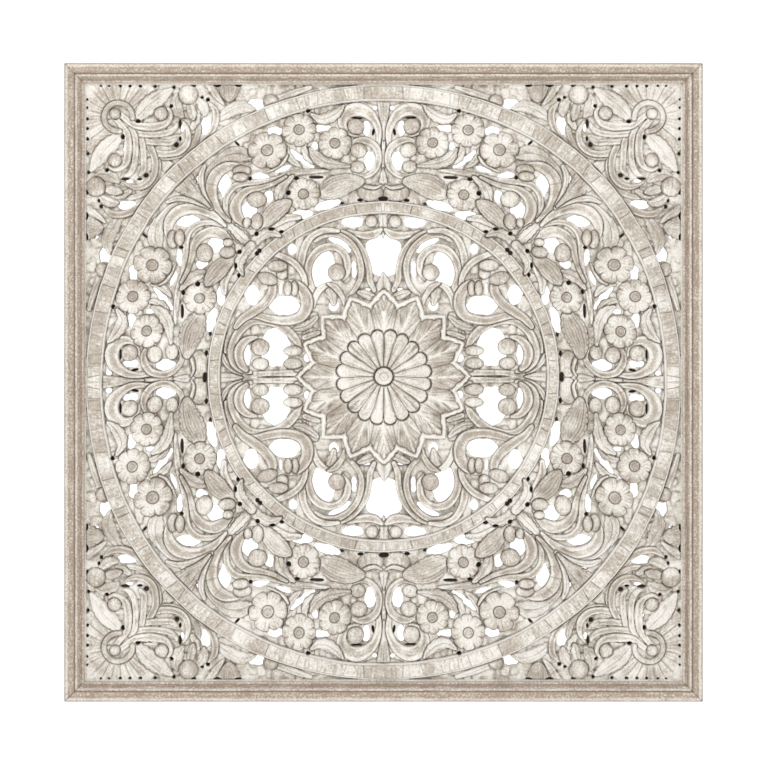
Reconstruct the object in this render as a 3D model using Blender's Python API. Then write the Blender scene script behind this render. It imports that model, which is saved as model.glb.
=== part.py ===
"""A square pierced wood panel, carved in relief, in a mitred moulding frame.

The panel hangs on a wall: it faces -Y, up is +Z, and the origin is the middle of the flat back of
the frame's top rail.  Depths are measured forward from the wall.
"""

import math

import bmesh
import bpy
import numpy as np
from mathutils import Matrix, Vector
from mathutils.geometry import delaunay_2d_cdt

# Overall sizes, in metres.
OVERALL = 0.915
FRAME_WIDTH = 0.027
FRAME_DEPTH = 0.028

# How the board sits in the frame.
LIP_COVER = 0.0062
FIT_GAP = 0.0003
BOARD_BACK = 0.004
RIM_FRONT = 0.0158

# The middle of the panel below the origin, which is the middle of the top rail's flat back.
PANEL_MIDDLE = -(OVERALL / 2 - (FRAME_WIDTH - LIP_COVER) / 2)

# Depths of the carving, forward from the wall.
FLOOR = 0.0105
EDGE = 0.0135
CREST = 0.0188
RING_TOP = 0.0186
PETAL_TOP = 0.0195
BOSS_TOP = 0.0225
LEAF_EDGE = 0.0155
LEAF_CREST = 0.0205
ROSETTE_EDGE = 0.0200
ROSETTE_CREST = 0.0232
ROSETTE_BOSS = 0.0262

# The field was set out in millimetres on a square of this half width, and follows the real one.
DRAWN_HALF = 430.5
FIELD_HALF = OVERALL / 2 - FRAME_WIDTH
DRAWN_UNIT = FIELD_HALF / DRAWN_HALF
RIM_WIDTH = 3.0
RIM_INNER = DRAWN_HALF - RIM_WIDTH
RIM_OUTER = DRAWN_HALF + (LIP_COVER - FIT_GAP) / DRAWN_UNIT

# The two rings, the rosette and the lift of the medallion above the middle, in drawn millimetres.
OUTER_RING = (404.5, 429.0)
INNER_RING = (235.0, 253.5)
OUTER_SQUARENESS = 0.012
RING_SHOULDER = 2.5
OUTER_RING_SIDES = 56
INNER_RING_SIDES = 48
MEDALLION_RISE = 7.5
BOSS_RADIUS = 12.7
PETAL_COUNT = 20
PETAL_RADIUS = 68.0
LEAF_COUNT = 16
LEAF_RADIUS = 117.0
LEDGE_STEP = 11.0
LEAF_NOTCH = 84.0
LEAF_WAIST = 103.0
LEDGE_WIDTH = 5.0
PETAL_NOTCH = 4.0
PETAL_SHOULDER = 7.5

# A flower's petals, and its parts as shares of its radius.
FLOWER_PETALS = 8
FLOWER_NOTCH = 0.88
FLOWER_BOSS = 0.24
FLOWER_DITCH = 0.36
FLOWER_SHOULDER = 0.62
DITCH_DEPTH = 0.4

# The corner sunburst, in drawn millimetres from its own centre on the diagonal.
SUN_CENTRE = 382.0
HOOK_RADIUS = 20.5
HOOK_WIDTH = 7.5
HOOK_SWEEP = math.radians(140)
RAY_COUNT = 14
RAY_SPREAD = math.radians(118)
RAY_HEIGHT = 0.75

# The carved solid is kept to about this many triangles.
TRIANGLE_BUDGET = 9300
SMALLEST_OPENING = 14.0
BUD_SIDES = 8
MERGE_DISTANCE = 0.02
JOIN_DISTANCE = 2.2
STRAIGHT_WITHIN = 0.9
OPENING_SIDES = 10
DEPTH_WEIGHT = 3.0


def strand(*stations):
    """A carved band along its middle line, given as (x, y, width) at each station."""
    return ("strand", stations)


def ball(x, y, across, high, turn=0.0):
    """A domed bud, by its half widths and the turn of its long side in degrees."""
    return ("ball", (x, y, across, high, turn))


def flower(x, y, radius):
    """A round flower of eight petals with a raised boss."""
    return ("flower", (x, y, radius))


def opening(x, y, across, high, turn=0.0):
    """An oval inside which the board is pierced wherever no carved form crosses it."""
    return ("opening", (x, y, across, high, turn))


# Between the rings, from the upright axis to the diagonal.  It is repeated eight times.
GARLAND = [
    opening(20, 315, 10, 17),
    opening(25, 365, 8, 14),
    opening(13, 396, 6, 6),
    opening(88, 364, 13, 8),
    opening(100, 335, 6, 11),
    opening(156, 361, 14, 9),
    opening(118, 318, 25, 7, 38),
    opening(146, 303, 15, 6, -20),
    opening(177, 294, 15, 7, 10),
    opening(166, 262, 9, 11),
    opening(194, 241, 14, 17),
    opening(82, 248, 21, 9, -15),
    opening(118, 234, 17, 9),
    opening(229, 281, 11, 20),
    opening(267, 287, 6, 14),
    strand((0, 283, 5), (0, 315, 5), (0, 350, 6)),
    strand((0, 346, 3), (0, 370, 9), (0, 392, 17), (0, 407, 20)),
    strand((8, 338, 7), (7, 355, 9), (11, 371, 12), (22, 386, 17), (37, 392, 20), (51, 388, 19),
           (59, 376, 15), (57, 363, 10), (47, 355, 7), (33, 350, 3)),
    ball(40, 366, 12, 12),
    strand((50, 328, 3), (47, 338, 7), (37, 345, 9), (24, 344, 11), (12, 336, 11), (7, 323, 10),
           (8, 309, 10), (15, 298, 9), (26, 291, 8), (38, 292, 6), (46, 300, 3)),
    ball(36, 330, 12, 11),
    ball(38, 305, 11, 9),
    strand((0, 303, 2), (0, 293, 9), (0, 283, 13)),
    ball(19, 266, 19, 13),
    strand((3, 277, 3), (12, 273, 5), (24, 275, 6), (33, 280, 5), (38, 288, 2)),
    strand((98, 373, 5), (103, 382, 12), (106, 394, 8)),
    strand((58, 397, 4), (67, 387, 14), (80, 379, 19), (92, 377, 14), (104, 384, 5)),
    strand((80, 300, 5), (105, 298, 8), (130, 295, 9), (155, 288, 9), (180, 285, 9), (200, 284, 10),
           (215, 279, 10), (225, 266, 9), (227, 250, 8), (223, 236, 6), (220, 225, 4)),
    strand((96, 311, 8), (107, 320, 16), (114, 332, 9), (112, 342, 4)),
    strand((50, 306, 5), (66, 308, 12), (82, 311, 18), (96, 320, 18), (105, 332, 6)),
    strand((34, 283, 14), (50, 281, 28), (68, 275, 36), (82, 268, 26), (92, 264, 6)),
    flower(70.5, 341, 24),
    flower(122, 361, 25),
    strand((120, 306, 4), (130, 314, 11), (137, 325, 9), (138, 334, 4)),
    strand((138, 322, 4), (144, 312, 5), (155, 304, 4), (168, 299, 3)),
    strand((192, 322, 8), (206, 328, 24), (224, 326, 20), (240, 317, 10), (252, 304, 8), (258, 288, 6),
           (257, 272, 3)),
    flower(167, 332, 28),
    strand((130, 291, 5), (142, 281, 16), (150, 268, 17), (152, 254, 8), (150, 246, 3)),
    strand((136, 262, 4), (142, 254, 10), (146, 246, 6)),
    flower(115.5, 264, 24),
    strand((122, 229, 8), (138, 229, 12), (152, 223, 12), (166, 214, 8), (178, 208, 4)),
    strand((177, 212, 5), (167, 226, 20), (155, 239, 28), (142, 249, 18), (136, 253, 8)),
    strand((140, 291, 5), (160, 281, 7), (178, 276, 9), (195, 272, 12), (208, 261, 15), (213, 247, 17),
           (210, 234, 16), (202, 224, 11), (188, 215, 3)),
    ball(182, 258, 14, 12),
    ball(182, 225, 9, 12),
    ball(196, 224, 6, 8),
    strand((190, 192, 4), (200, 208, 10), (212, 221, 5)),
    strand((188, 188, 6), (204, 204, 16), (216, 216, 12), (228, 228, 6)),
    strand((204, 309, 6), (217, 310, 12), (231, 307, 16), (243, 296, 18), (248, 280, 17), (247, 264, 16),
           (241, 250, 13), (232, 238, 9), (221, 227, 5)),
    ball(204, 303, 13, 8),
    ball(206, 293, 12, 7),
    strand((248, 248, 6), (257, 266, 8), (262, 282, 9), (263, 297, 9), (258, 311, 5)),
    strand((250, 250, 4), (266, 266, 12), (279, 279, 26), (290, 290, 36)),
]

# Inside the inner ring, for one quarter.  It is mirrored about both axes.
FIELD = [
    opening(0, 176, 30, 34),
    opening(45, 223, 18, 10),
    opening(64, 193, 22, 9, 38),
    opening(43, 154, 6, 14),
    opening(90, 158, 22, 30),
    opening(72, 104, 9, 11),
    opening(131, 184, 9, 10),
    opening(149, 128, 5, 11),
    opening(143, 103, 24, 16),
    opening(190, 118, 13, 16),
    opening(157, 42, 24, 30),
    opening(200, 32, 10, 20),
    opening(27, 125, 9, 5),
    opening(111, 27, 7, 8),
    strand((0, 236, 14), (0, 222, 13), (0, 210, 8), (0, 202, 3)),
    strand((3, 212, 6), (12, 206, 12), (24, 204, 12), (38, 206, 9), (52, 210, 5)),
    ball(17, 224, 9, 9),
    strand((0, 108, 20), (0, 125, 26), (0, 140, 14), (0, 150, 3)),
    strand((10, 112, 8), (24, 118, 14), (36, 122, 6)),
    strand((14, 124, 7), (20, 138, 9), (21, 153, 9), (24, 168, 9), (30, 182, 10), (40, 195, 10),
           (52, 204, 9), (66, 209, 7), (80, 210, 6)),
    strand((50, 118, 6), (41, 127, 8), (34, 140, 8), (32, 156, 9), (35, 172, 9), (42, 186, 9),
           (54, 198, 9), (70, 205, 9), (86, 204, 9), (98, 197, 8)),
    strand((66, 210, 6), (84, 211, 9), (99, 205, 10), (109, 194, 11), (115, 180, 11), (117, 165, 11),
           (114, 149, 11), (108, 133, 11), (103, 118, 10), (102, 105, 10)),
    strand((58, 141, 5), (52, 153, 9), (53, 169, 11), (61, 181, 11), (75, 187, 11), (90, 184, 12),
           (101, 174, 12), (107, 160, 11), (108, 146, 10), (103, 131, 9), (96, 118, 6)),
    ball(68, 151, 12.5, 12),
    strand((72, 106, 8), (74, 116, 14), (78, 128, 12), (80, 134, 6)),
    strand((77, 135, 6), (90, 128, 10), (98, 116, 9), (102, 102, 8)),
    strand((55, 104, 6), (60, 117, 8), (69, 129, 9), (80, 135, 5)),
    strand((110, 3, 8), (130, 5, 9), (150, 5, 9), (170, 5, 8), (190, 3, 9), (206, 0, 10)),
    strand((204, 0, 3), (216, 0, 12), (228, 0, 16), (236, 0, 16)),
    strand((206, 5, 4), (218, 12, 8), (228, 22, 8), (232, 32, 5)),
    strand((112, 66, 8), (113, 52, 10), (118, 40, 8)),
    strand((104, 14, 6), (116, 10, 8), (126, 10, 6)),
    strand((92, 64, 5), (102, 60, 10), (114, 56, 8)),
    strand((96, 86, 6), (106, 77, 12), (117, 71, 12), (128, 69, 6)),
    strand((196, 92, 8), (208, 82, 10), (218, 66, 10), (224, 50, 9), (227, 36, 6)),
    strand((120, 42, 6), (127, 54, 12), (138, 66, 13), (152, 74, 10), (168, 79, 9), (184, 80, 9),
           (198, 75, 12), (209, 64, 12), (216, 50, 12), (219, 36, 12), (216, 22, 12), (206, 12, 10),
           (192, 7, 6)),
    strand((184, 57, 5), (196, 54, 10), (205, 45, 13), (209, 33, 14), (206, 20, 12), (198, 11, 8)),
    ball(178, 43, 13, 12),
    ball(178, 19, 12, 9),
    ball(131, 37, 14, 7.5),
    ball(131, 19, 14, 8),
    strand((112, 134, 8), (115, 147, 9), (122, 159, 10), (133, 168, 10), (146, 174, 9), (158, 178, 8)),
    strand((196, 86, 6), (182, 88, 10), (165, 84, 12), (148, 81, 13), (131, 82, 14), (117, 89, 16),
           (110, 102, 18), (111, 116, 17), (118, 129, 14), (129, 137, 8), (140, 139, 4)),
    ball(128, 128, 6, 11),
    ball(138, 128, 6, 11),
    ball(146, 149, 8, 8),
    ball(152, 160, 14, 8),
    strand((160, 138, 10), (160, 125, 13), (166, 113, 14), (177, 102, 14), (190, 93, 14), (203, 84, 12),
           (213, 72, 8)),
    ball(167, 142, 15, 9, 15),
]

# The corner, from the diagonal to the upright axis.  It is repeated eight times.
CORNER = [
    opening(182, 399, 17, 12),
    opening(210, 416, 6, 7),
    opening(256, 370, 9, 16),
    opening(290, 368, 5, 9),
    opening(340, 374, 14, 4),
    strand((300, 300, 24), (312, 312, 16), (323, 323, 6)),
    strand((168, 402, 12), (150, 408, 12), (128, 417, 10), (105, 424, 6)),
    ball(162, 405, 10, 9),
    strand((222, 404, 4), (222, 416, 24), (222, 430, 36)),
    strand((230, 400, 4), (240, 412, 10), (250, 428, 14)),
    strand((240, 376, 6), (224, 388, 18), (206, 396, 20), (190, 394, 10), (182, 388, 4)),
    strand((357, 378, 8), (348, 388, 20), (337, 399, 26), (322, 410, 22), (306, 420, 8)),
    strand((269, 376, 5), (266, 366, 8), (268, 354, 8), (273, 344, 9), (283, 334, 9), (298, 325, 8),
           (315, 322, 6), (326, 327, 4)),
    strand((252, 402, 5), (243, 392, 9), (241, 379, 10), (245, 365, 10), (254, 352, 9), (266, 341, 6)),
    strand((266, 384, 6), (270, 375, 12), (275, 366, 8)),
    strand((268, 408, 6), (262, 401, 15), (258, 392, 15), (258, 384, 6)),
    strand((279, 402, 8), (277, 393, 14), (275, 384, 13), (273, 378, 5)),
    strand((297, 412, 8), (299, 403, 17), (296, 392, 18), (290, 383, 8)),
    ball(281, 414, 14, 14),
    ball(319, 387, 11, 10),
    strand((352, 347, 6), (342, 338, 9), (326, 330, 10), (311, 328, 10), (296, 331, 10), (285, 340, 10),
           (281, 351, 9), (282, 363, 7), (288, 374, 4)),
    strand((358, 356, 7), (349, 349, 9), (335, 346, 9), (319, 345, 9), (307, 345, 9), (299, 350, 6)),
    strand((366, 365, 7), (356, 359, 9), (342, 357, 9), (326, 357, 9), (312, 359, 9), (301, 365, 8),
           (297, 372, 5)),
    strand((383, 389, 8), (371, 379, 9), (358, 370, 10), (342, 368, 12), (329, 368, 12), (316, 371, 10),
           (308, 379, 7), (306, 388, 6), (310, 395, 4)),
    ball(387, 387, 8, 8),
]

# Lapping over the inner ring, from the upright axis to the diagonal.  It is repeated eight times.
OVER_RING = [
    strand((148, 203, 4), (162, 208, 14), (177, 202, 16), (190, 190, 14)),
]


def rows(points):
    """Points as an array of rows."""
    return np.array(points, dtype=float)


def eightfold(forms):
    """The forms in all eight mirrored places."""
    return [mirrored(form, swap, sx, sz)
            for swap in (False, True) for sx in (1, -1) for sz in (1, -1) for form in forms]


def fourfold(forms):
    """The forms in all four mirrored quarters."""
    return [mirrored(form, False, sx, sz) for sx in (1, -1) for sz in (1, -1) for form in forms]


def mirrored(form, swap, sx, sz):
    """One form mirrored over the diagonal and the two axes."""
    kind, values = form
    if kind == "strand":
        placed = [((y if swap else x) * sx, (x if swap else y) * sz, width) for x, y, width in values]
        return (kind, placed)
    x, y = (values[1], values[0]) if swap else (values[0], values[1])
    if kind == "flower":
        return (kind, (x * sx, y * sz, values[2]))
    across, high = (values[3], values[2]) if swap else (values[2], values[3])
    turn = -values[4] if swap else values[4]
    return (kind, (x * sx, y * sz, across, high, turn * sx * sz))


def closest_on_line(points, line):
    """The distance from each point to a line of stations, and the half width there."""
    best = np.full(len(points), np.inf)
    reach = np.zeros(len(points))
    for start, end in zip(line[:-1], line[1:]):
        span = end[:2] - start[:2]
        share = np.clip((points - start[:2]) @ span / (span @ span), 0, 1)
        away = np.linalg.norm(points - start[:2] - share[:, None] * span, axis=1)
        nearer = away < best
        best[nearer] = away[nearer]
        reach[nearer] = (start[2] + share[nearer] * (end[2] - start[2])) / 2
    return best, reach


def inside(points, outline):
    """Which points lie inside a closed outline."""
    within = np.zeros(len(points), dtype=bool)
    for (x0, y0), (x1, y1) in zip(outline, np.roll(outline, -1, axis=0)):
        crosses = (y0 > points[:, 1]) != (y1 > points[:, 1])
        if y0 != y1:
            within ^= crosses & (points[:, 0] < (x1 - x0) * (points[:, 1] - y0) / (y1 - y0) + x0)
    return within


class Form:
    """A carved form: its outline, the lines along its crests, and its depth at any point.

    A form without a depth is an opening.  A hollow is an outline inside it that it does not cover.
    """

    def __init__(self, outline, lines, depth, hollow=None):
        self.outline = rows(outline)
        self.lines = [rows(line) for line in lines]
        self.depth = depth
        self.hollow = hollow
        self.low = self.outline.min(axis=0)
        self.high = self.outline.max(axis=0)

    def covers(self, points):
        """Which points the form covers."""
        near = np.all((points >= self.low) & (points <= self.high), axis=1)
        covered = np.zeros(len(points), dtype=bool)
        if near.any():
            covered[near] = inside(points[near], self.outline)
            if self.hollow is not None:
                covered[near] &= ~inside(points[near], self.hollow)
        return covered


def strand_form(stations):
    """A band with a sharp crest along its middle."""
    line = rows(stations)
    along = np.gradient(line[:, :2], axis=0)
    along /= np.linalg.norm(along, axis=1)[:, None]
    across = np.stack([-along[:, 1], along[:, 0]], axis=1) * line[:, 2:] / 2
    left = line[:, :2] + across
    right = line[:, :2] - across

    def depth(points):
        away, reach = closest_on_line(points, line)
        return EDGE + (CREST - EDGE) * np.clip(1 - away / np.maximum(reach, 1), 0, 1)

    return Form(np.vstack([left, right[::-1]]), [line[:, :2]], depth)


def turned(turn):
    """The matrix that turns rows of points by so many degrees."""
    angle = math.radians(turn)
    return rows([[math.cos(angle), math.sin(angle)], [-math.sin(angle), math.cos(angle)]])


def oval(values, sides, share=1.0):
    """A closed polygon round an oval, at a share of its size."""
    x, y, across, high, turn = values
    angles = np.arange(sides) * 2 * math.pi / sides
    loop = np.stack([across * np.cos(angles), high * np.sin(angles)], axis=1) * share
    return loop @ turned(turn) + (x, y)


def ball_form(values):
    """A domed bud: an eight-sided foot and a smaller top."""

    def depth(points):
        local = (points - values[:2]) @ turned(values[4]).T / values[2:4]
        return EDGE + (CREST - EDGE) * np.sqrt(np.clip(1 - (local ** 2).sum(axis=1), 0, 1))

    return Form(oval(values, BUD_SIDES), [closed(oval(values, BUD_SIDES // 2, 0.5))], depth)


def opening_form(values):
    """An oval opening."""
    return Form(oval(values, OPENING_SIDES), [], None)


def polar_loop(centre, count, radii, turn=0.0):
    """A closed loop around a centre that steps through the radii once for each of count lobes."""
    steps = count * len(radii)
    angles = turn + np.arange(steps) * 2 * math.pi / steps
    radius = np.tile(radii, count)
    return np.stack([centre[0] + radius * np.cos(angles), centre[1] + radius * np.sin(angles)], axis=1)


def closed(loop):
    """A loop with its first point repeated at its end."""
    return np.vstack([loop, loop[:1]])


def flower_form(values):
    """A scalloped flower with a sunken ring round a raised boss."""
    x, y, radius = values
    boss = FLOWER_BOSS * radius
    ditch = FLOWER_DITCH * radius
    shoulder = FLOWER_SHOULDER * radius

    def depth(points):
        away = np.linalg.norm(points - (x, y), axis=1)
        return np.interp(away, [boss, ditch, shoulder, radius],
                         [BOSS_TOP, PETAL_TOP - (PETAL_TOP - FLOOR) * DITCH_DEPTH, PETAL_TOP, EDGE])

    outline = polar_loop((x, y), FLOWER_PETALS, [radius, radius * FLOWER_NOTCH])
    lines = [closed(polar_loop((x, y), 6, [boss])), closed(polar_loop((x, y), 6, [ditch])),
             closed(polar_loop((x, y), FLOWER_PETALS, [shoulder]))]
    return Form(outline, lines, depth)


def ring_form(radii, sides, squareness=0.0):
    """A flat band with bevelled edges, a little wider towards the corners by its squareness."""
    inner, outer = radii
    middle = (inner + outer) / 2
    reach = (outer - inner) / 2

    def stretch(points):
        doubled = 2 * np.arctan2(points[:, 1], points[:, 0])
        return 1 + squareness * np.sin(doubled) ** 2

    def depth(points):
        away = np.abs(np.linalg.norm(points, axis=1) / stretch(points) - middle)
        return EDGE + (RING_TOP - EDGE) * np.clip((reach - away) / RING_SHOULDER, 0, 1)

    def loop(radius):
        circle = polar_loop((0, 0), sides, [radius])
        return circle * stretch(circle)[:, None]

    loops = [loop(radius) for radius in (inner, inner + RING_SHOULDER, outer - RING_SHOULDER)]
    return Form(loop(outer), [closed(line) for line in loops], depth, loops[0])


def star_depth(count, levels, notch, tip):
    """The depth over a star of pointed leaves, highest along the middle of each leaf."""
    low, high = levels
    sector = 2 * math.pi / count

    def depth(points):
        away = np.linalg.norm(points, axis=1)
        angle = np.arctan2(points[:, 1], points[:, 0]) / sector
        off = np.abs(angle - np.round(angle)) * 2
        half = np.clip((tip - away) / (tip - notch), 0.001, 1) ** 0.7
        return low + (high - low) * np.clip(1 - off / half, 0, 1)

    return depth


def ledge_form():
    """The zigzag ledge that follows the leaf tips of the rosette."""
    tip = LEAF_RADIUS + LEDGE_WIDTH + 1.0
    notch = tip - LEDGE_STEP - LEDGE_WIDTH - 3.0
    width = LEDGE_WIDTH

    def depth(points):
        away = np.linalg.norm(points, axis=1)
        angle = np.arctan2(points[:, 1], points[:, 0]) * LEAF_COUNT / (2 * math.pi)
        reach = notch + (tip - notch) * (1 - 2 * np.abs(angle - np.round(angle)))
        return np.where(away > reach - width * 1.5, CREST, FLOOR)

    outline = polar_loop((0, 0), LEAF_COUNT, [tip, notch])
    inner = polar_loop((0, 0), LEAF_COUNT, [tip - 2 * width, notch - width])
    return Form(outline, [closed(inner)], depth)


def leaves_form():
    """The sixteen pointed leaves behind the petals."""
    notch = LEAF_NOTCH
    outline = polar_loop((0, 0), LEAF_COUNT, [LEAF_RADIUS, LEAF_WAIST, notch, LEAF_WAIST])
    sector = 2 * math.pi / LEAF_COUNT
    lines = []
    for index in range(LEAF_COUNT):
        ridge = rows([math.cos(index * sector), math.sin(index * sector)])
        valley = rows([math.cos((index + 0.5) * sector), math.sin((index + 0.5) * sector)])
        lines.append([ridge * PETAL_RADIUS, ridge * LEAF_RADIUS])
        lines.append([valley * PETAL_RADIUS, valley * notch])
    return Form(outline, lines, star_depth(LEAF_COUNT, (LEAF_EDGE, LEAF_CREST), notch, LEAF_RADIUS))


def petals_form():
    """The twenty rounded petals, each a ridge between two valleys, round the boss."""
    sector = 2 * math.pi / PETAL_COUNT
    notch = PETAL_RADIUS - PETAL_NOTCH
    shoulder = PETAL_RADIUS - PETAL_SHOULDER
    hub = BOSS_RADIUS + 1.5

    def depth(points):
        away = np.linalg.norm(points, axis=1)
        angle = np.arctan2(points[:, 1], points[:, 0]) / sector
        ridge = 2 * np.abs(angle - np.round(angle))
        petal = ROSETTE_EDGE + (ROSETTE_CREST - ROSETTE_EDGE) * ridge
        petal = np.where(away > shoulder, np.minimum(petal, ROSETTE_EDGE), petal)
        return np.where(away < BOSS_RADIUS - 3, ROSETTE_BOSS, np.where(away < hub + 0.1, ROSETTE_EDGE, petal))

    outline = polar_loop((0, 0), PETAL_COUNT, [PETAL_RADIUS, notch], sector / 2)
    crown = polar_loop((0, 0), PETAL_COUNT, [shoulder + 0.5, shoulder - PETAL_NOTCH], sector / 2)
    lines = [closed(crown), closed(polar_loop((0, 0), PETAL_COUNT, [hub])),
             closed(polar_loop((0, 0), 8, [BOSS_RADIUS - 4]))]
    for index in range(2 * PETAL_COUNT):
        out = rows([math.cos(index * sector / 2), math.sin(index * sector / 2)])
        lines.append([out * hub, out * (shoulder - PETAL_NOTCH)])
    return Form(outline, lines, depth)


def hook_form(sx, sz):
    """The round hook in a corner: an arc open towards the middle of the panel."""
    centre = (SUN_CENTRE * sx, SUN_CENTRE * sz)
    facing = math.atan2(sz, sx)
    sweep = np.linspace(-HOOK_SWEEP, HOOK_SWEEP, 17) + facing
    line = [(centre[0] + HOOK_RADIUS * math.cos(angle), centre[1] + HOOK_RADIUS * math.sin(angle),
             HOOK_WIDTH) for angle in sweep]
    return strand_form(line)


def rays_form(sx, sz):
    """The sunburst of ridged rays between a corner's hook and the frame."""
    centre = rows([SUN_CENTRE * sx, SUN_CENTRE * sz])
    facing = math.atan2(sz, sx)
    spread = RAY_SPREAD
    limit = RIM_INNER + 2.0 - SUN_CENTRE
    inner = HOOK_RADIUS

    def reach(angle):
        local = angle - facing + math.pi / 4
        return limit / max(math.cos(local), math.sin(local), 0.1)

    angles = facing + np.linspace(-spread, spread, 2 * RAY_COUNT + 1)
    rim = [centre + reach(angle) * rows([math.cos(angle), math.sin(angle)]) for angle in angles]
    hub = [centre + inner * rows([math.cos(angle), math.sin(angle)]) for angle in angles]
    step = angles[1] - angles[0]

    def depth(points):
        local = points - centre
        angle = np.arctan2(local[:, 1], local[:, 0]) - angles[0]
        turns = np.mod(angle, 2 * math.pi) / (2 * step)
        ridge = 1 - 2 * np.abs(turns - np.round(turns))
        return EDGE + (CREST - EDGE) * RAY_HEIGHT * (1 - ridge)

    return Form(np.vstack([rim, hub[::-1]]), [[start, end] for start, end in zip(hub, rim)], depth)


def rim_forms():
    """The plain square border that sits behind the frame's lip, as four strips."""
    strips = []
    far = RIM_OUTER
    near = RIM_INNER
    for sx, sz in ((0, 1), (0, -1), (1, 0), (-1, 0)):
        if sz:
            outline = [(-far, far * sz), (far, far * sz), (far, near * sz), (-far, near * sz)]
        else:
            outline = [(far * sx, -far), (far * sx, far), (near * sx, far), (near * sx, -far)]
        strips.append(Form(outline, [], lambda points: np.full(len(points), RIM_FRONT)))
    return strips


def all_forms():
    """Every carved form, from the deepest to the topmost."""
    makers = {"strand": strand_form, "ball": ball_form, "flower": flower_form, "opening": opening_form}
    corners = [(sx, sz) for sx in (1, -1) for sz in (1, -1)]
    drawn = [makers[kind](values) for kind, values in eightfold(CORNER)]
    drawn += [hook_form(sx, sz) for sx, sz in corners]
    drawn += [makers[kind](values) for kind, values in eightfold(GARLAND) + fourfold(FIELD)]
    drawn += [ring_form(OUTER_RING, OUTER_RING_SIDES, OUTER_SQUARENESS),
              ring_form(INNER_RING, INNER_RING_SIDES)]
    drawn += [makers[kind](values) for kind, values in eightfold(OVER_RING)]
    drawn += [ledge_form(), leaves_form(), petals_form()]
    drawn += rim_forms()
    rays = [rays_form(sx, sz) for sx, sz in corners]
    openings = [form for form in drawn if form.depth is None]
    return openings + rays + [form for form in drawn if form.depth is not None]


def subdivision(forms, lines):
    """Triangles that follow the lines, the topmost form over each, and each edge's first lines.

    What reaches past the board's edge is cut off there.
    """
    points = []
    edges = []
    for line in lines:
        first = len(points)
        points += [Vector(point) for point in np.clip(line, -RIM_OUTER, RIM_OUTER)]
        edges += [(first + step, first + step + 1) for step in range(len(line) - 1)]
    corners, cuts, triangles, _, sources, _ = delaunay_2d_cdt(points, edges, [], 0, MERGE_DISTANCE)
    corners = rows(corners)
    triangles = np.array(triangles)
    centres = corners[triangles].mean(axis=1)
    top = np.full(len(triangles), -1)
    for index, form in enumerate(forms):
        top[form.covers(centres)] = index
    return corners, triangles, top, zip(cuts, sources)


def visible_lines(forms):
    """The outlines and crests that are not hidden by a form above them, as pairs of points."""
    lines = []
    crest_of = []
    for index, form in enumerate(forms):
        for line, owner in [(closed(form.outline), -1)] + [(line, index) for line in form.lines]:
            lines.append(line)
            crest_of += [owner] * (len(line) - 1)
    corners, triangles, top, cuts = subdivision(forms, lines)
    beside = {}
    for triangle, form in zip(triangles, top):
        for start, end in zip(triangle, np.roll(triangle, -1)):
            beside.setdefault((min(start, end), max(start, end)), []).append(form)
    seen = []
    for (start, end), sources in cuts:
        sides = beside.get((min(start, end), max(start, end)), [])
        crests = {crest_of[source] for source in sources}
        if len(sides) == 1 or len(set(sides)) > 1 or (sources and sides and sides[0] in crests - {-1}):
            seen.append((start, end))
    return corners, seen


def joined_lines(corners, seen):
    """The visible lines with near corners joined, as runs between their meeting points."""
    build = bmesh.new()
    verts = {corner: build.verts.new((*corners[corner], 0)) for corner in np.unique(seen)}
    for start, end in seen:
        build.edges.new((verts[start], verts[end]))
    bmesh.ops.remove_doubles(build, verts=build.verts, dist=JOIN_DISTANCE)
    runs = []
    left = set(build.edges)
    ends = [vert for vert in build.verts if len(vert.link_edges) != 2]
    for begin in ends + list(build.verts):
        for edge in begin.link_edges:
            if edge not in left:
                continue
            run = [begin]
            while edge in left:
                left.discard(edge)
                run.append(edge.other_vert(run[-1]))
                if len(run[-1].link_edges) == 2:
                    edge = next((other for other in run[-1].link_edges if other in left), edge)
            runs.append(rows([vert.co.to_2d() for vert in run]))
    build.free()
    return runs


def straightened(line):
    """A run of points without those that hardly bend it."""
    if len(line) < 3:
        return line
    span = line[-1] - line[0]
    length = np.linalg.norm(span)
    if length < MERGE_DISTANCE:
        off = np.linalg.norm(line - line[0], axis=1)
    else:
        off = np.abs((line[:, 0] - line[0, 0]) * span[1] - (line[:, 1] - line[0, 1]) * span[0]) / length
    bend = int(off.argmax())
    if off[bend] < STRAIGHT_WITHIN:
        return line[[0, -1]]
    return np.vstack([straightened(line[:bend + 1]), straightened(line[bend:])[1:]])


def open_regions(triangles, solid):
    """The connected groups of triangles on each side of the pierced outlines."""
    owners = {}
    for index, triangle in enumerate(triangles):
        for start, end in zip(triangle, np.roll(triangle, -1)):
            owners.setdefault((min(start, end), max(start, end)), []).append(index)
    group = list(range(len(triangles)))

    def root(index):
        while group[index] != index:
            group[index] = group[group[index]]
            index = group[index]
        return index

    for pair in owners.values():
        if len(pair) == 2 and solid[pair[0]] == solid[pair[1]]:
            group[root(pair[0])] = root(pair[1])
    return np.array([root(index) for index in range(len(triangles))])


def fill_pinches(corners, triangles, solid):
    """Where openings meet at a single corner, fill all but the widest of them there."""
    around = {}
    for index, triangle in enumerate(triangles):
        for corner in triangle:
            around.setdefault(corner, []).append(index)
    changed = True
    while changed:
        changed = False
        for corner, fan in around.items():
            gaps = [index for index in fan if not solid[index]]
            if not gaps or len(gaps) == len(fan):
                continue
            sectors = []
            for index in gaps:
                others = set(triangles[index]) - {corner}
                joined = [sector for sector in sectors if sector[0] & others]
                merged = (others.union(*[sector[0] for sector in joined]),
                          [index] + [item for sector in joined for item in sector[1]])
                sectors = [sector for sector in sectors if sector not in joined] + [merged]
            if len(sectors) > 1:
                sizes = [sum(fan_angle(corners, triangles[index], corner) for index in sector[1])
                         for sector in sectors]
                widest = sizes.index(max(sizes))
                for place, sector in enumerate(sectors):
                    if place != widest:
                        solid[sector[1]] = True
                        changed = True


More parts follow.
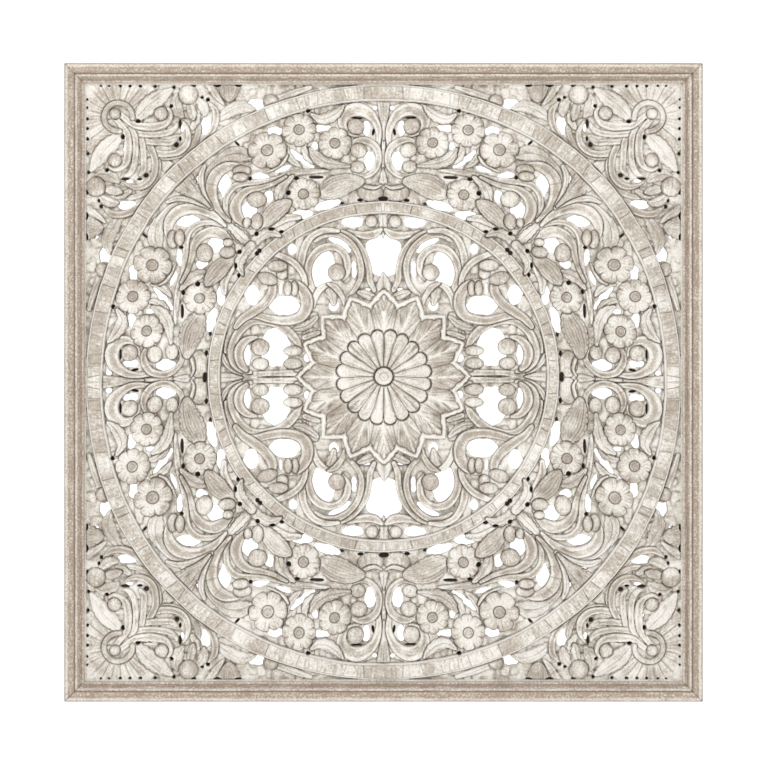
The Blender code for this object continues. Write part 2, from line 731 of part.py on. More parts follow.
def fan_angle(corners, triangle, corner):
    """The angle of a triangle at one of its corners."""
    others = [corners[other] - corners[corner] for other in triangle if other != corner]
    cosine = others[0] @ others[1] / (np.linalg.norm(others[0]) * np.linalg.norm(others[1]))
    return math.acos(max(-1.0, min(1.0, cosine)))


def pierced(corners, triangles, top, holes):
    """Which triangles are wood: slight gaps are filled, and nothing is left loose or pinched."""
    solid = (top < 0) | ~np.isin(top, holes)
    sides = corners[triangles]
    first = sides[:, 1] - sides[:, 0]
    second = sides[:, 2] - sides[:, 0]
    areas = np.abs(first[:, 0] * second[:, 1] - first[:, 1] * second[:, 0]) / 2
    for wood in (False, True, False):
        groups = open_regions(triangles, solid)
        totals = {group: areas[groups == group].sum() for group in np.unique(groups)}
        biggest = max(totals, key=totals.get)
        for group, total in totals.items():
            members = groups == group
            if wood and solid[members][0] and group != biggest:
                solid[members] = False
            if not wood and not solid[members][0] and total < SMALLEST_OPENING:
                solid[members] = True
        fill_pinches(corners, triangles, solid)
    return solid


def field_point(corner):
    """A drawn point at its real place, with the medallion lifted above the panel's middle."""
    away = math.hypot(corner[0], corner[1])
    lift = (OUTER_RING[0] - away) / (OUTER_RING[0] - INNER_RING[1])
    x = corner[0] * DRAWN_UNIT
    z = (corner[1] + MEDALLION_RISE * min(max(lift, 0), 1)) * DRAWN_UNIT
    return x, z + PANEL_MIDDLE


def carved_panel(material):
    """The pierced, carved board."""
    forms = all_forms()
    lines = [straightened(run) for run in joined_lines(*visible_lines(forms))]
    corners, triangles, top, _ = subdivision(forms, lines)
    holes = [index for index, form in enumerate(forms) if form.depth is None]
    solid = pierced(corners, triangles, top, holes)
    depth = np.full(len(corners), ROSETTE_BOSS)
    for index in np.unique(top[solid]):
        used = np.unique(triangles[solid & (top == index)])
        bare = index < 0 or forms[index].depth is None
        depth[used] = np.minimum(depth[used], FLOOR if bare else forms[index].depth(corners[used]))
    build = bmesh.new()
    front = {}
    back = {}
    for corner in np.unique(triangles[solid]):
        x, z = field_point(corners[corner])
        front[corner] = build.verts.new((x, -depth[corner], z))
        back[corner] = build.verts.new((x, -BOARD_BACK, z))
    back_faces = []
    for triangle in triangles[solid]:
        build.faces.new([front[corner] for corner in triangle])
        back_faces.append(build.faces.new([back[corner] for corner in triangle[::-1]]))
    steps = {(start, end) for triangle in triangles[solid]
             for start, end in zip(triangle, np.roll(triangle, -1))}
    for start, end in steps:
        if (end, start) not in steps:
            build.faces.new([front[end], front[start], back[start], back[end]])
    build.normal_update()
    edges = list({edge for face in back_faces for edge in face.edges})
    verts = list({vert for face in back_faces for vert in face.verts})
    bmesh.ops.dissolve_limit(build, angle_limit=0.001, verts=verts, edges=edges)
    bmesh.ops.triangulate(build, faces=build.faces)
    panel = add_object("carved_panel", build, material)
    thin_out(panel)
    return panel


def thin_out(panel):
    """Bring the board to its share of triangles, with the rim behind the frame's lip left alone.

    The board is stretched in depth meanwhile, so that the carving counts for more than its slopes.
    """
    stretch = Matrix.Diagonal((1.0, DEPTH_WEIGHT, 1.0, 1.0))
    reach = (RIM_INNER - 0.5) * DRAWN_UNIT
    inner = [vert.index for vert in panel.data.vertices
             if max(abs(vert.co.x), abs(vert.co.z - PANEL_MIDDLE)) < reach]
    carving = panel.vertex_groups.new(name="carving")
    carving.add(inner, 1.0, "REPLACE")
    panel.data.transform(stretch)
    thin = panel.modifiers.new("thin", "DECIMATE")
    thin.ratio = min(1.0, TRIANGLE_BUDGET / len(panel.data.polygons))
    thin.vertex_group = carving.name
    thin.use_collapse_triangulate = True
    bpy.context.view_layer.update()
    finished = bpy.data.meshes.new_from_object(panel.evaluated_get(bpy.context.evaluated_depsgraph_get()))
    finished.transform(stretch.inverted())
    panel.modifiers.clear()
    panel.vertex_groups.clear()
    panel.data = finished


def moulding_section():
    """The rail's section: a bead, a shallow cove, a thin bead, a groove and a lip over the board."""
    outer = [(0.0, 0.0), (0.0, FRAME_DEPTH - 0.0022), (0.0010, FRAME_DEPTH - 0.0005), (0.0022, FRAME_DEPTH),
             (0.0036, FRAME_DEPTH - 0.0007), (0.0045, FRAME_DEPTH - 0.0024)]
    cove = [(0.0098, FRAME_DEPTH - 0.0034), (0.0148, FRAME_DEPTH - 0.0026)]
    bead = [(0.0156, FRAME_DEPTH - 0.0014), (0.0170, FRAME_DEPTH - 0.0014), (0.0178, FRAME_DEPTH - 0.0026)]
    groove = [(0.0190, FRAME_DEPTH - 0.0060), (0.0212, FRAME_DEPTH - 0.0060)]
    lip = [(0.0224, FRAME_DEPTH - 0.0044), (FRAME_WIDTH - 0.0008, FRAME_DEPTH - 0.0050),
           (FRAME_WIDTH, FRAME_DEPTH - 0.0060), (FRAME_WIDTH, RIM_FRONT + FIT_GAP)]
    rebate = [(FRAME_WIDTH - LIP_COVER, RIM_FRONT + FIT_GAP), (FRAME_WIDTH - LIP_COVER, 0.0)]
    return outer + cove + bead + groove + lip + rebate


def rail(name, quarter_turns, material):
    """One mitred rail of the frame, made as the top rail and turned into its place."""
    build = bmesh.new()
    section = moulding_section()
    half = OVERALL / 2
    slack = FIT_GAP / math.sqrt(2)
    face = build.faces.new([build.verts.new((-(half - inward - slack), -depth, half - inward))
                            for inward, depth in section])
    swept = bmesh.ops.extrude_face_region(build, geom=[face])["geom"]
    for vert in swept:
        if isinstance(vert, bmesh.types.BMVert):
            vert.co.x = -vert.co.x
    bmesh.ops.recalc_face_normals(build, faces=build.faces)
    turn = Matrix.Rotation(math.pi / 2 * quarter_turns, 4, "Y")
    bmesh.ops.transform(build, matrix=Matrix.Translation((0, 0, PANEL_MIDDLE)) @ turn, verts=build.verts)
    return add_object(name, build, material)


def wood(name, colour, roughness):
    """A matt limewashed wood."""
    material = bpy.data.materials.new(name)
    material.use_nodes = True
    shader = material.node_tree.nodes["Principled BSDF"]
    shader.inputs["Base Color"].default_value = (*colour, 1.0)
    shader.inputs["Roughness"].default_value = roughness
    shader.inputs["Metallic"].default_value = 0.0
    return material


def add_object(name, build, material):
    """A finished mesh as a named object in the panel's collection."""
    mesh = bpy.data.meshes.new(name)
    build.to_mesh(mesh)
    build.free()
    mesh.materials.append(material)
    thing = bpy.data.objects.new(name, mesh)
    bpy.data.collections["carved_wall_panel"].objects.link(thing)
    return thing


def main():
    """Build the board and the four rails of its frame."""
    for thing in list(bpy.data.objects):
        bpy.data.objects.remove(thing, do_unlink=True)
    bpy.context.scene.collection.children.link(bpy.data.collections.new("carved_wall_panel"))
    carved_panel(wood("limewashed_carving", (0.66, 0.60, 0.52), 0.85))
    frame_wood = wood("limewashed_frame", (0.50, 0.43, 0.36), 0.85)
    for turns, name in enumerate(("frame_top", "frame_right", "frame_bottom", "frame_left")):
        rail(name, turns, frame_wood)


main()
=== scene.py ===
"""The carved wall panel as it looks: the board's fine relief, its frame, its limewash and the studio.

Drawn sizes are millimetres on the square field inside the frame, measured from its middle.
"""

import math

import bmesh
import bpy
import numpy as np
from mathutils import Matrix, Vector


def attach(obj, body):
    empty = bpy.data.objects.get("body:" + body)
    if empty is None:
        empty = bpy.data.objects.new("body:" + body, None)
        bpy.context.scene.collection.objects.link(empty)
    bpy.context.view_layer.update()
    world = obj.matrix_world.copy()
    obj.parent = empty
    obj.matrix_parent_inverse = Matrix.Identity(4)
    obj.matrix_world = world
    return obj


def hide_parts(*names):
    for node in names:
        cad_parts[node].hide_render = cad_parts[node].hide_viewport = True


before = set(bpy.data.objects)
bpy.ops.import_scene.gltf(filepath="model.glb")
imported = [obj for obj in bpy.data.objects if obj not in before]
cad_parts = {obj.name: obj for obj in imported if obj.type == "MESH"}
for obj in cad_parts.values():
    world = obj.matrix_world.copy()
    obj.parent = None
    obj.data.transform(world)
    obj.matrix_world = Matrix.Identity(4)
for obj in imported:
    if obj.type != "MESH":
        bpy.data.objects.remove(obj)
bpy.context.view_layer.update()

# The board and frame, in metres, as the solids have them.
OVERALL = 0.915
FRAME_WIDTH = 0.027
FRAME_DEPTH = 0.028
LIP_COVER = 0.0062
FIT_GAP = 0.0003
BOARD_BACK = 0.004
PANEL_MIDDLE = -(OVERALL / 2 - (FRAME_WIDTH - LIP_COVER) / 2)
DRAWN_HALF = 430.5
DRAWN_UNIT = (OVERALL / 2 - FRAME_WIDTH) / DRAWN_HALF
RIM_INNER = 427.5
RIM_OUTER = DRAWN_HALF + (LIP_COVER - FIT_GAP) / DRAWN_UNIT

# Heights of the carving forward from the wall, in millimetres.
FLOOR = 10.5
EDGE = 13.5
VALLEY = 12.6
CREST = 18.8
RING_TOP = 18.6
PETAL_TOP = 19.5
BOSS_TOP = 21.5
RIM_FRONT = 15.8
PIT_FLOOR = 5.0
LEAF_LOW = 15.6
LEAF_RISE = 4.2
PETAL_LOW = 20.0

# How steeply what lies under a form dips to meet its edge.
DIP_SLOPE = 2.4

# The rings: how far out each one's edges lie, how long its blocks are, how deep inside it its lines run,
# and how much wider the outer ring is on the diagonals.
OUTER_RING = (404.5, 429.0)
INNER_RING = (235.0, 253.5)
RING_BLOCK = (11, 27)
RING_LINE = 3.2
OUTER_SQUARENESS = 0.012

# The medallion's lift, the flowers that have six petals, the corner suns and the rosette: lengths in
# drawn millimetres, sweep and spread in degrees.
MEDALLION_RISE = 7.5
LARGE_FLOWER = 26
SUN_CENTRE = 382.0
HOOK_RADIUS = 20.5
HOOK_WIDTH = 7.5
HOOK_SWEEP = 140.0
RAY_COUNT = 14
RAY_SPREAD = 118.0
RAY_LENGTH = 66.0
RAY_TIP = 425.0
ROSETTE_REACH = 140.0
LEDGE_TIP = 127.0
LEDGE_NOTCH = 19.5
LEAF_COUNT = 16
LEAF_TIP = 118.0
LEAF_NOTCH = 20.0
LEAF_SHOULDER = 15.0
PETAL_COUNT = 20
PETAL_NOTCH = 58.5
PETAL_LOBE = 9.5
ROSETTE_BOSS = 12.7

# The raster the relief is worked out on, its noise, the grid it is meshed on, the smallest opening's area,
# how far a form's cut edge reaches, and the triangles left in a piece.
CELL = 0.5
REACH = 440.0
LATTICE = 256
FAR_OUTSIDE = -99.0
GRID_STEP = 1.0
SMALLEST_OPENING = 9.0
MARGIN = 4.0
TRIANGLES = {"medallion": 192000, "garland": 117000, "corner": 61000}


def forms_of(kind):
    """A maker of one kind of form, which keeps the kind with the values it is given."""
    return lambda *values: (kind, values)


# Bands are drawn by (x, y, width) at each station of their middle line: carved strands, veined leaves,
# bracts that are leaves left bright with limewash, and fluted fans.  A ball is a domed bud: x, y, half its
# width, half its height and, where it leans, a turn in degrees.  A flower is x, y and radius.
BANDS = ("strand", "leaf", "bract", "fan")
strand, leaf, bract, fan = (forms_of(kind) for kind in BANDS)
ball = forms_of("ball")
flower = forms_of("flower")

# Between the rings, from the upright axis to the diagonal.  It is repeated eight times.
GARLAND = [
    strand((0, 283, 5), (0, 315, 5), (0, 350, 6)),
    fan((0, 346, 3), (0, 370, 9), (0, 392, 17), (0, 407, 20)),
    strand((8, 338, 7), (7, 355, 9), (11, 371, 12), (22, 386, 17), (37, 392, 20), (51, 388, 19),
           (59, 376, 15), (57, 363, 10), (47, 355, 7), (33, 350, 3)),
    ball(40, 366, 12, 12),
    strand((50, 328, 3), (47, 338, 7), (37, 345, 9), (24, 344, 11), (12, 336, 11), (7, 323, 10),
           (8, 309, 10), (15, 298, 9), (26, 291, 8), (38, 292, 6), (46, 300, 3)),
    ball(36, 330, 12, 11),
    ball(38, 305, 11, 9),
    leaf((0, 303, 2), (0, 293, 9), (0, 283, 13)),
    ball(19, 266, 19, 13),
    strand((3, 277, 3), (12, 273, 5), (24, 275, 6), (33, 280, 5), (38, 288, 2)),
    leaf((98, 373, 5), (103, 382, 12), (106, 394, 8)),
    leaf((58, 397, 4), (67, 387, 14), (80, 379, 19), (92, 377, 14), (104, 384, 5)),
    strand((80, 300, 5), (105, 298, 8), (130, 295, 9), (155, 288, 9), (180, 285, 9), (200, 284, 10),
           (215, 279, 10), (225, 266, 9), (227, 250, 8), (223, 236, 6), (220, 225, 4)),
    leaf((96, 311, 8), (107, 320, 16), (114, 332, 9), (112, 342, 4)),
    leaf((50, 306, 5), (66, 308, 12), (82, 311, 18), (96, 320, 18), (105, 332, 6)),
    fan((34, 283, 14), (50, 281, 28), (68, 275, 36), (82, 268, 26), (92, 264, 6)),
    flower(70.5, 341, 24),
    flower(122, 361, 25),
    leaf((120, 306, 4), (130, 314, 11), (137, 325, 9), (138, 334, 4)),
    strand((138, 322, 4), (144, 312, 5), (155, 304, 4), (168, 299, 3)),
    leaf((192, 322, 8), (206, 328, 24), (224, 326, 20), (240, 317, 10), (252, 304, 8), (258, 288, 6),
         (257, 272, 3)),
    flower(167, 332, 28),
    leaf((130, 291, 5), (142, 281, 16), (150, 268, 17), (152, 254, 8), (150, 246, 3)),
    leaf((136, 262, 4), (142, 254, 10), (146, 246, 6)),
    flower(115.5, 264, 24),
    strand((122, 229, 8), (138, 229, 12), (152, 223, 12), (166, 214, 8), (178, 208, 4)),
    fan((177, 212, 5), (167, 226, 20), (155, 239, 28), (142, 249, 18), (136, 253, 8)),
    strand((140, 291, 5), (160, 281, 7), (178, 276, 9), (195, 272, 12), (208, 261, 15), (213, 247, 17),
           (210, 234, 16), (202, 224, 11), (188, 215, 3)),
    ball(182, 258, 14, 12),
    ball(182, 225, 9, 12),
    ball(196, 224, 6, 8),
    leaf((190, 192, 4), (200, 208, 10), (212, 221, 5)),
    leaf((188, 188, 6), (204, 204, 16), (216, 216, 12), (228, 228, 6)),
    strand((204, 309, 6), (217, 310, 12), (231, 307, 16), (243, 296, 18), (248, 280, 17), (247, 264, 16),
           (241, 250, 13), (232, 238, 9), (221, 227, 5)),
    ball(204, 303, 13, 8),
    ball(206, 293, 12, 7),
    leaf((248, 248, 6), (257, 266, 8), (262, 282, 9), (263, 297, 9), (258, 311, 5)),
    fan((250, 250, 4), (266, 266, 12), (279, 279, 26), (290, 290, 36)),
]

# Inside the inner ring, for one quarter.  It is mirrored about both axes.
FIELD = [
    leaf((0, 236, 14), (0, 222, 13), (0, 210, 8), (0, 202, 3)),
    strand((3, 212, 6), (12, 206, 12), (24, 204, 12), (38, 206, 9), (52, 210, 5)),
    ball(17, 224, 9, 9),
    leaf((0, 108, 20), (0, 125, 26), (0, 140, 14), (0, 150, 3)),
    leaf((10, 112, 8), (24, 118, 14), (36, 122, 6)),
    strand((14, 124, 7), (20, 138, 9), (21, 153, 9), (24, 168, 9), (30, 182, 10), (40, 195, 10),
           (52, 204, 9), (66, 209, 7), (80, 210, 6)),
    strand((50, 118, 6), (41, 127, 8), (34, 140, 8), (32, 156, 9), (35, 172, 9), (42, 186, 9), (54, 198, 9),
           (70, 205, 9), (86, 204, 9), (98, 197, 8)),
    strand((66, 210, 6), (84, 211, 9), (99, 205, 10), (109, 194, 11), (115, 180, 11), (117, 165, 11),
           (114, 149, 11), (108, 133, 11), (103, 118, 10), (102, 105, 10)),
    strand((58, 141, 5), (52, 153, 9), (53, 169, 11), (61, 181, 11), (75, 187, 11), (90, 184, 12),
           (101, 174, 12), (107, 160, 11), (108, 146, 10), (103, 131, 9), (96, 118, 6)),
    ball(68, 151, 12.5, 12),
    leaf((72, 106, 8), (74, 116, 14), (78, 128, 12), (80, 134, 6)),
    strand((77, 135, 6), (90, 128, 10), (98, 116, 9), (102, 102, 8)),
    strand((55, 104, 6), (60, 117, 8), (69, 129, 9), (80, 135, 5)),
    strand((110, 3, 8), (130, 5, 9), (150, 5, 9), (170, 5, 8), (190, 3, 9), (206, 0, 10)),
    leaf((204, 0, 3), (216, 0, 12), (228, 0, 16), (236, 0, 16)),
    leaf((206, 5, 4), (218, 12, 8), (228, 22, 8), (232, 32, 5)),
    strand((112, 66, 8), (113, 52, 10), (118, 40, 8)),
    strand((104, 14, 6), (116, 10, 8), (126, 10, 6)),
    leaf((92, 64, 5), (102, 60, 10), (114, 56, 8)),
    leaf((96, 86, 6), (106, 77, 12), (117, 71, 12), (128, 69, 6)),
    strand((196, 92, 8), (208, 82, 10), (218, 66, 10), (224, 50, 9), (227, 36, 6)),
    strand((120, 42, 6), (127, 54, 12), (138, 66, 13), (152, 74, 10), (168, 79, 9), (184, 80, 9),
           (198, 75, 12), (209, 64, 12), (216, 50, 12), (219, 36, 12), (216, 22, 12), (206, 12, 10),
           (192, 7, 6)),
    strand((184, 57, 5), (196, 54, 10), (205, 45, 13), (209, 33, 14), (206, 20, 12), (198, 11, 8)),
    ball(178, 43, 13, 12),
    ball(178, 19, 12, 9),
    ball(131, 37, 14, 7.5),
    ball(131, 19, 14, 8),
    strand((112, 134, 8), (115, 147, 9), (122, 159, 10), (133, 168, 10), (146, 174, 9), (158, 178, 8)),
    strand((196, 86, 6), (182, 88, 10), (165, 84, 12), (148, 81, 13), (131, 82, 14), (117, 89, 16),
           (110, 102, 18), (111, 116, 17), (118, 129, 14), (129, 137, 8), (140, 139, 4)),
    ball(128, 128, 6, 11),
    ball(138, 128, 6, 11),
    ball(146, 149, 8, 8),
    ball(152, 160, 14, 8),
    strand((160, 138, 10), (160, 125, 13), (166, 113, 14), (177, 102, 14), (190, 93, 14), (203, 84, 12),
           (213, 72, 8)),
    ball(167, 142, 15, 9, 15),
]

# The corner, from the diagonal to the upright axis.  It is repeated eight times.
CORNER = [
    fan((300, 300, 24), (312, 312, 16), (323, 323, 6)),
    leaf((168, 402, 12), (150, 408, 12), (128, 417, 10), (105, 424, 6)),
    ball(162, 405, 10, 9),
    fan((222, 404, 4), (222, 416, 24), (222, 430, 36)),
    leaf((230, 400, 4), (240, 412, 10), (250, 428, 14)),
    leaf((240, 376, 6), (224, 388, 18), (206, 396, 20), (190, 394, 10), (182, 388, 4)),
    bract((357, 378, 8), (348, 388, 20), (337, 399, 26), (322, 410, 22), (306, 420, 8)),
    strand((269, 376, 5), (266, 366, 8), (268, 354, 8), (273, 344, 9), (283, 334, 9), (298, 325, 8),
           (315, 322, 6), (326, 327, 4)),
    strand((252, 402, 5), (243, 392, 9), (241, 379, 10), (245, 365, 10), (254, 352, 9), (266, 341, 6)),
    leaf((266, 384, 6), (270, 375, 12), (275, 366, 8)),
    leaf((268, 408, 6), (262, 401, 15), (258, 392, 15), (258, 384, 6)),
    leaf((279, 402, 8), (277, 393, 14), (275, 384, 13), (273, 378, 5)),
    leaf((297, 412, 8), (299, 403, 17), (296, 392, 18), (290, 383, 8)),
    ball(281, 414, 14, 14),
    ball(319, 387, 11, 10),
    strand((352, 347, 6), (342, 338, 9), (326, 330, 10), (311, 328, 10), (296, 331, 10), (285, 340, 10),
           (281, 351, 9), (282, 363, 7), (288, 374, 4)),
    strand((358, 356, 7), (349, 349, 9), (335, 346, 9), (319, 345, 9), (307, 345, 9), (299, 350, 6)),
    strand((366, 365, 7), (356, 359, 9), (342, 357, 9), (326, 357, 9), (312, 359, 9), (301, 365, 8),
           (297, 372, 5)),
    strand((383, 389, 8), (371, 379, 9), (358, 370, 10), (342, 368, 12), (329, 368, 12), (316, 371, 10),
           (308, 379, 7), (306, 388, 6), (310, 395, 4)),
]

# The bud inside the corner's hook.
HOOK_BALL = ball(387, 387, 8, 8)

# Lapping over the inner ring, from the upright axis to the diagonal.  It is repeated eight times.
OVER_RING = [
    leaf((148, 203, 4), (162, 208, 14), (177, 202, 16), (190, 190, 14)),
]

# Ovals inside which the board is pierced wherever no form crosses them, repeated as the lists above are.
GARLAND_OPENINGS = [
    (20, 315, 10, 17), (25, 365, 8, 14), (13, 396, 6, 6), (88, 364, 13, 8), (100, 335, 6, 11),
    (156, 361, 14, 9), (118, 318, 25, 7, 38), (146, 303, 15, 6, -20), (177, 294, 15, 7, 10),
    (166, 262, 9, 11), (194, 241, 14, 17), (82, 248, 21, 9, -15), (118, 234, 17, 9), (229, 281, 11, 20),
    (267, 287, 6, 14),
]
FIELD_OPENINGS = [
    (0, 176, 30, 34), (45, 223, 18, 10), (64, 193, 22, 9, 38), (43, 154, 6, 14), (90, 158, 22, 30),
    (72, 104, 9, 11), (131, 184, 9, 10), (149, 128, 5, 11), (143, 103, 24, 16), (190, 118, 13, 16),
    (157, 42, 24, 30), (200, 32, 10, 20), (27, 125, 9, 5), (111, 27, 7, 8),
]
CORNER_OPENINGS = [
    (182, 399, 17, 12), (210, 416, 6, 7), (256, 370, 9, 16), (290, 368, 5, 9), (340, 374, 14, 4),
]

# Blind holes drilled between the forms, also ovals, darkened inside with painted shade.
GARLAND_PITS = [
    (0, 257, 7, 3), (34, 255, 4, 2), (62, 250, 4, 2), (137, 267, 3.2, 3.4), (125, 288, 3.6, 2.2),
    (97, 290, 10, 2), (147, 209, 3, 2), (161, 213, 4, 2), (182, 207, 3, 3), (178, 182, 3, 3),
    (15, 358, 1.6, 5, 10), (39, 379.4, 7.5, 1.1), (211, 344, 4, 1.4, 45), (192, 291, 2, 3),
    (109, 390, 3, 2.5),
]
CORNER_PITS = [
    (329, 426.4, 2, 2), (350, 426.4, 2.2, 2), (365, 426.4, 2, 1.8), (379, 426.4, 1.9, 1.8),
    (395, 426.6, 1.4, 1.4), (407, 426.6, 1.2, 1.3), (252.5, 406.5, 2.6, 2.6), (261, 410, 2.2, 2),
    (305, 398, 2.4, 2.4), (293.5, 372, 1.8, 6.5), (293, 351, 1.6, 3.4), (298, 342, 3.2, 3.6),
    (302, 425, 2.2, 2), (354, 376, 3.4, 2.6), (209, 427.4, 4.5, 2), (239, 427.4, 5.5, 2),
    (273, 427.4, 2.6, 1.8),
]


def swapped(item):
    """A form mirrored over the diagonal."""
    kind, values = item
    if kind in BANDS:
        return kind, [(y, x, width) for x, y, width in values]
    if kind == "flower":
        x, y, radius = values
        return kind, (y, x, radius)
    x, y, across, high, *turn = values
    return kind, (y, x, high, across, *(-angle for angle in turn))


def both_ways(items):
    """The forms with their mirror images over the diagonal."""
    return [place for item in items for place in (item, swapped(item))]


def ovals(kind, places):
    """Holes of one kind as forms."""
    return [(kind, place) for place in places]


def smooth(low, high, value):
    """A soft step from 0 at low to 1 at high."""
    share = np.clip((value - low) / (high - low), 0, 1)
    return share * share * (3 - 2 * share)


def bump(value, width):
    """A soft bump of this width round zero."""
    return np.exp(-(value / width) ** 2)


def dome(share, power):
    """A rounded top: 1 in the middle, where the share is 0, and 0 at its edge."""
    return np.sqrt(np.clip(1 - share ** power, 0, 1))


def between(values, rows, cols, fx, fy):
    """A table's value between four of its places, on two rows and two columns."""
    low, high = (values[row, cols[0]] * (1 - fx) + values[row, cols[1]] * fx for row in rows)
    return low * (1 - fy) + high * fy


class Noise:
    """Smooth noise from -1 to 1 over the drawn plane, on a lattice of one spacing."""

    def __init__(self, seed, spacing):
        self.lattice = np.random.default_rng(seed).uniform(-1, 1, (LATTICE, LATTICE))
        self.spacing = spacing

    def __call__(self, x, y):
        gx = np.asarray(x) / self.spacing + 100.0
        gy = np.asarray(y) / self.spacing + 100.0
        ix = np.floor(gx).astype(int)
        iy = np.floor(gy).astype(int)
        rows, cols = ((first % LATTICE, (first + 1) % LATTICE) for first in (iy, ix))
        return between(self.lattice, rows, cols, smooth(0, 1, gx - ix), smooth(0, 1, gy - iy))


class Relief:
    """One quarter of the carving on a fine raster: its height, where it is wood, and its colouring.

    The colouring is three shares: wash is brown left in the hollows, dark is dirt and painted shade along
    the lines, in the pits and in the hollows, and pale is limewash worn bright on the edges.
    """

    def __init__(self):
        count = int(REACH / CELL) + 1
        self.axis = np.arange(count) * CELL
        self.away = np.hypot(self.axis[None, :], self.axis[:, None])
        self.angle = np.arctan2(self.axis[:, None], self.axis[None, :])
        self.height = np.full((count, count), FLOOR)
        self.solid = np.full((count, count), 20.0)
        self.wash = np.full((count, count), 0.45)
        self.dark = np.zeros((count, count))
        self.pale = np.zeros((count, count))
        self.whole = self.window((0, 0), (REACH, REACH))

    def window(self, low, high):
        """A window on the raster between two corners, with the x and y of its cells."""
        across, up = (slice(max(int(start / CELL), 0), max(int(end / CELL) + 2, 0))
                      for start, end in zip(low, high))
        return (up, across), self.axis[across][None, :], self.axis[up][:, None]

    def round_window(self, x, y, reach):
        """A window that reaches so far round a place."""
        return self.window((x - reach, y - reach), (x + reach, y + reach))

    def lay(self, window, inside, height, wash, dark=0.0, pale=0.0, line=0.75):
        """Lay a form over what is there: its edge is cut round, and what is under it dips to meet it. Its
        edge gets a dark line of dirt and painted shade, and what lies beside it a painted contact shadow
        with dirt.
        """
        near = np.clip(-inside, 0, None)
        over = inside > 0
        self.solid[window] = np.maximum(self.solid[window], inside)
        dip = np.minimum(self.height[window], VALLEY + near * DIP_SLOPE)
        self.height[window] = np.where(over, height, dip)
        self.wash[window] = np.where(over, wash, self.wash[window])
        self.pale[window] = np.where(over, pale, self.pale[window] * smooth(0, 2, near))
        # A dark line just inside the form's edge: dirt and painted shade.
        own = np.maximum(dark, 0.7 * line * bump(inside, 0.55))
        # A darker line on what lies beside the form's edge: painted contact shadow with dirt.
        under = np.maximum(self.dark[window], 1.15 * line * bump(near, 0.75))
        self.dark[window] = np.where(over, own, under)


relief = Relief()
rough = Noise(3, 2.6)
tooled = Noise(4, 9.0)
drift = Noise(5, 34.0)
grain = Noise(6, 1.0)
lap = Noise(7, 11.0)
edges = Noise(8, 6.0)


def smooth_line(stations, steps=None):
    """Stations joined by one smooth curve, in this many steps between each two or about 2 mm apart."""
    rows = np.array(stations, dtype=float)
    ends = np.vstack([2 * rows[0] - rows[1], rows, 2 * rows[-1] - rows[-2]])
    line = [rows[0]]
    for before, start, end, after in zip(ends, ends[1:], ends[2:], ends[3:]):
        count = steps or max(2, int(np.hypot(*(end - start)[:2]) / 2))
        bend = 2 * before - 5 * start + 4 * end - after
        twist = 3 * start - before - 3 * end + after
        for t in np.arange(1, count + 1) / count:
            line.append(0.5 * (2 * start + (end - before) * t + bend * t ** 2 + twist * t ** 3))
    return np.array(line)


def band_field(line):
    """Over a window round a band: the distance inside it, and the place across and along it."""
    reach = line[:, 2].max() / 2 + MARGIN
    window, x, y = relief.window(line[:, :2].min(axis=0) - reach, line[:, :2].max(axis=0) + reach)
    shape = (y.size, x.size)
    inside = np.full(shape, FAR_OUTSIDE)
    offset = np.zeros(shape)
    along = np.zeros(shape)
    half = np.ones(shape)
    travelled = 0.0
    for start, end in zip(line[:-1], line[1:]):
        dx, dy = end[:2] - start[:2]
        length = math.hypot(dx, dy)
        near = max(start[2], end[2]) / 2 + MARGIN
        cols = (x[0] >= min(start[0], end[0]) - near) & (x[0] <= max(start[0], end[0]) + near)
        lines = (y[:, 0] >= min(start[1], end[1]) - near) & (y[:, 0] <= max(start[1], end[1]) + near)
        if cols.any() and lines.any():
            place = np.ix_(lines, cols)
            gx = x[:, cols] - start[0]
            gy = y[lines] - start[1]
            share = np.clip((gx * dx + gy * dy) / length ** 2, 0, 1)
            ox = gx - share * dx
            oy = gy - share * dy
            away = np.hypot(ox, oy)
            wide = (start[2] + share * (end[2] - start[2])) / 2
            depth = wide - away
            better = depth > inside[place]
            inside[place] = np.where(better, depth, inside[place])
            offset[place] = np.where(better, away * np.sign(dx * oy - dy * ox), offset[place])
            along[place] = np.where(better, travelled + share * length, along[place])
            half[place] = np.where(better, wide, half[place])
        travelled += length
    return window, x, y, inside, offset, along, np.maximum(half, 0.5)


def gouged(along, offset, start, fine=1.5, long=14.0):
    """The long narrow marks of a gouge drawn along a form."""
    return grain(offset / fine + 5.7 * start, along / long + 3.1 * start)


def cross_cuts(along, start, spacing=11.0):
    """Uneven thin cuts across a form, some deep and most hardly there."""
    phase = along / spacing + 0.8 * np.sin(along / 17.0 + start)
    nearest = np.round(phase)
    strength = np.clip(np.sin(12.9 * nearest + start), 0, 1) ** 2
    return strength * bump((phase - nearest) * spacing, 0.7)


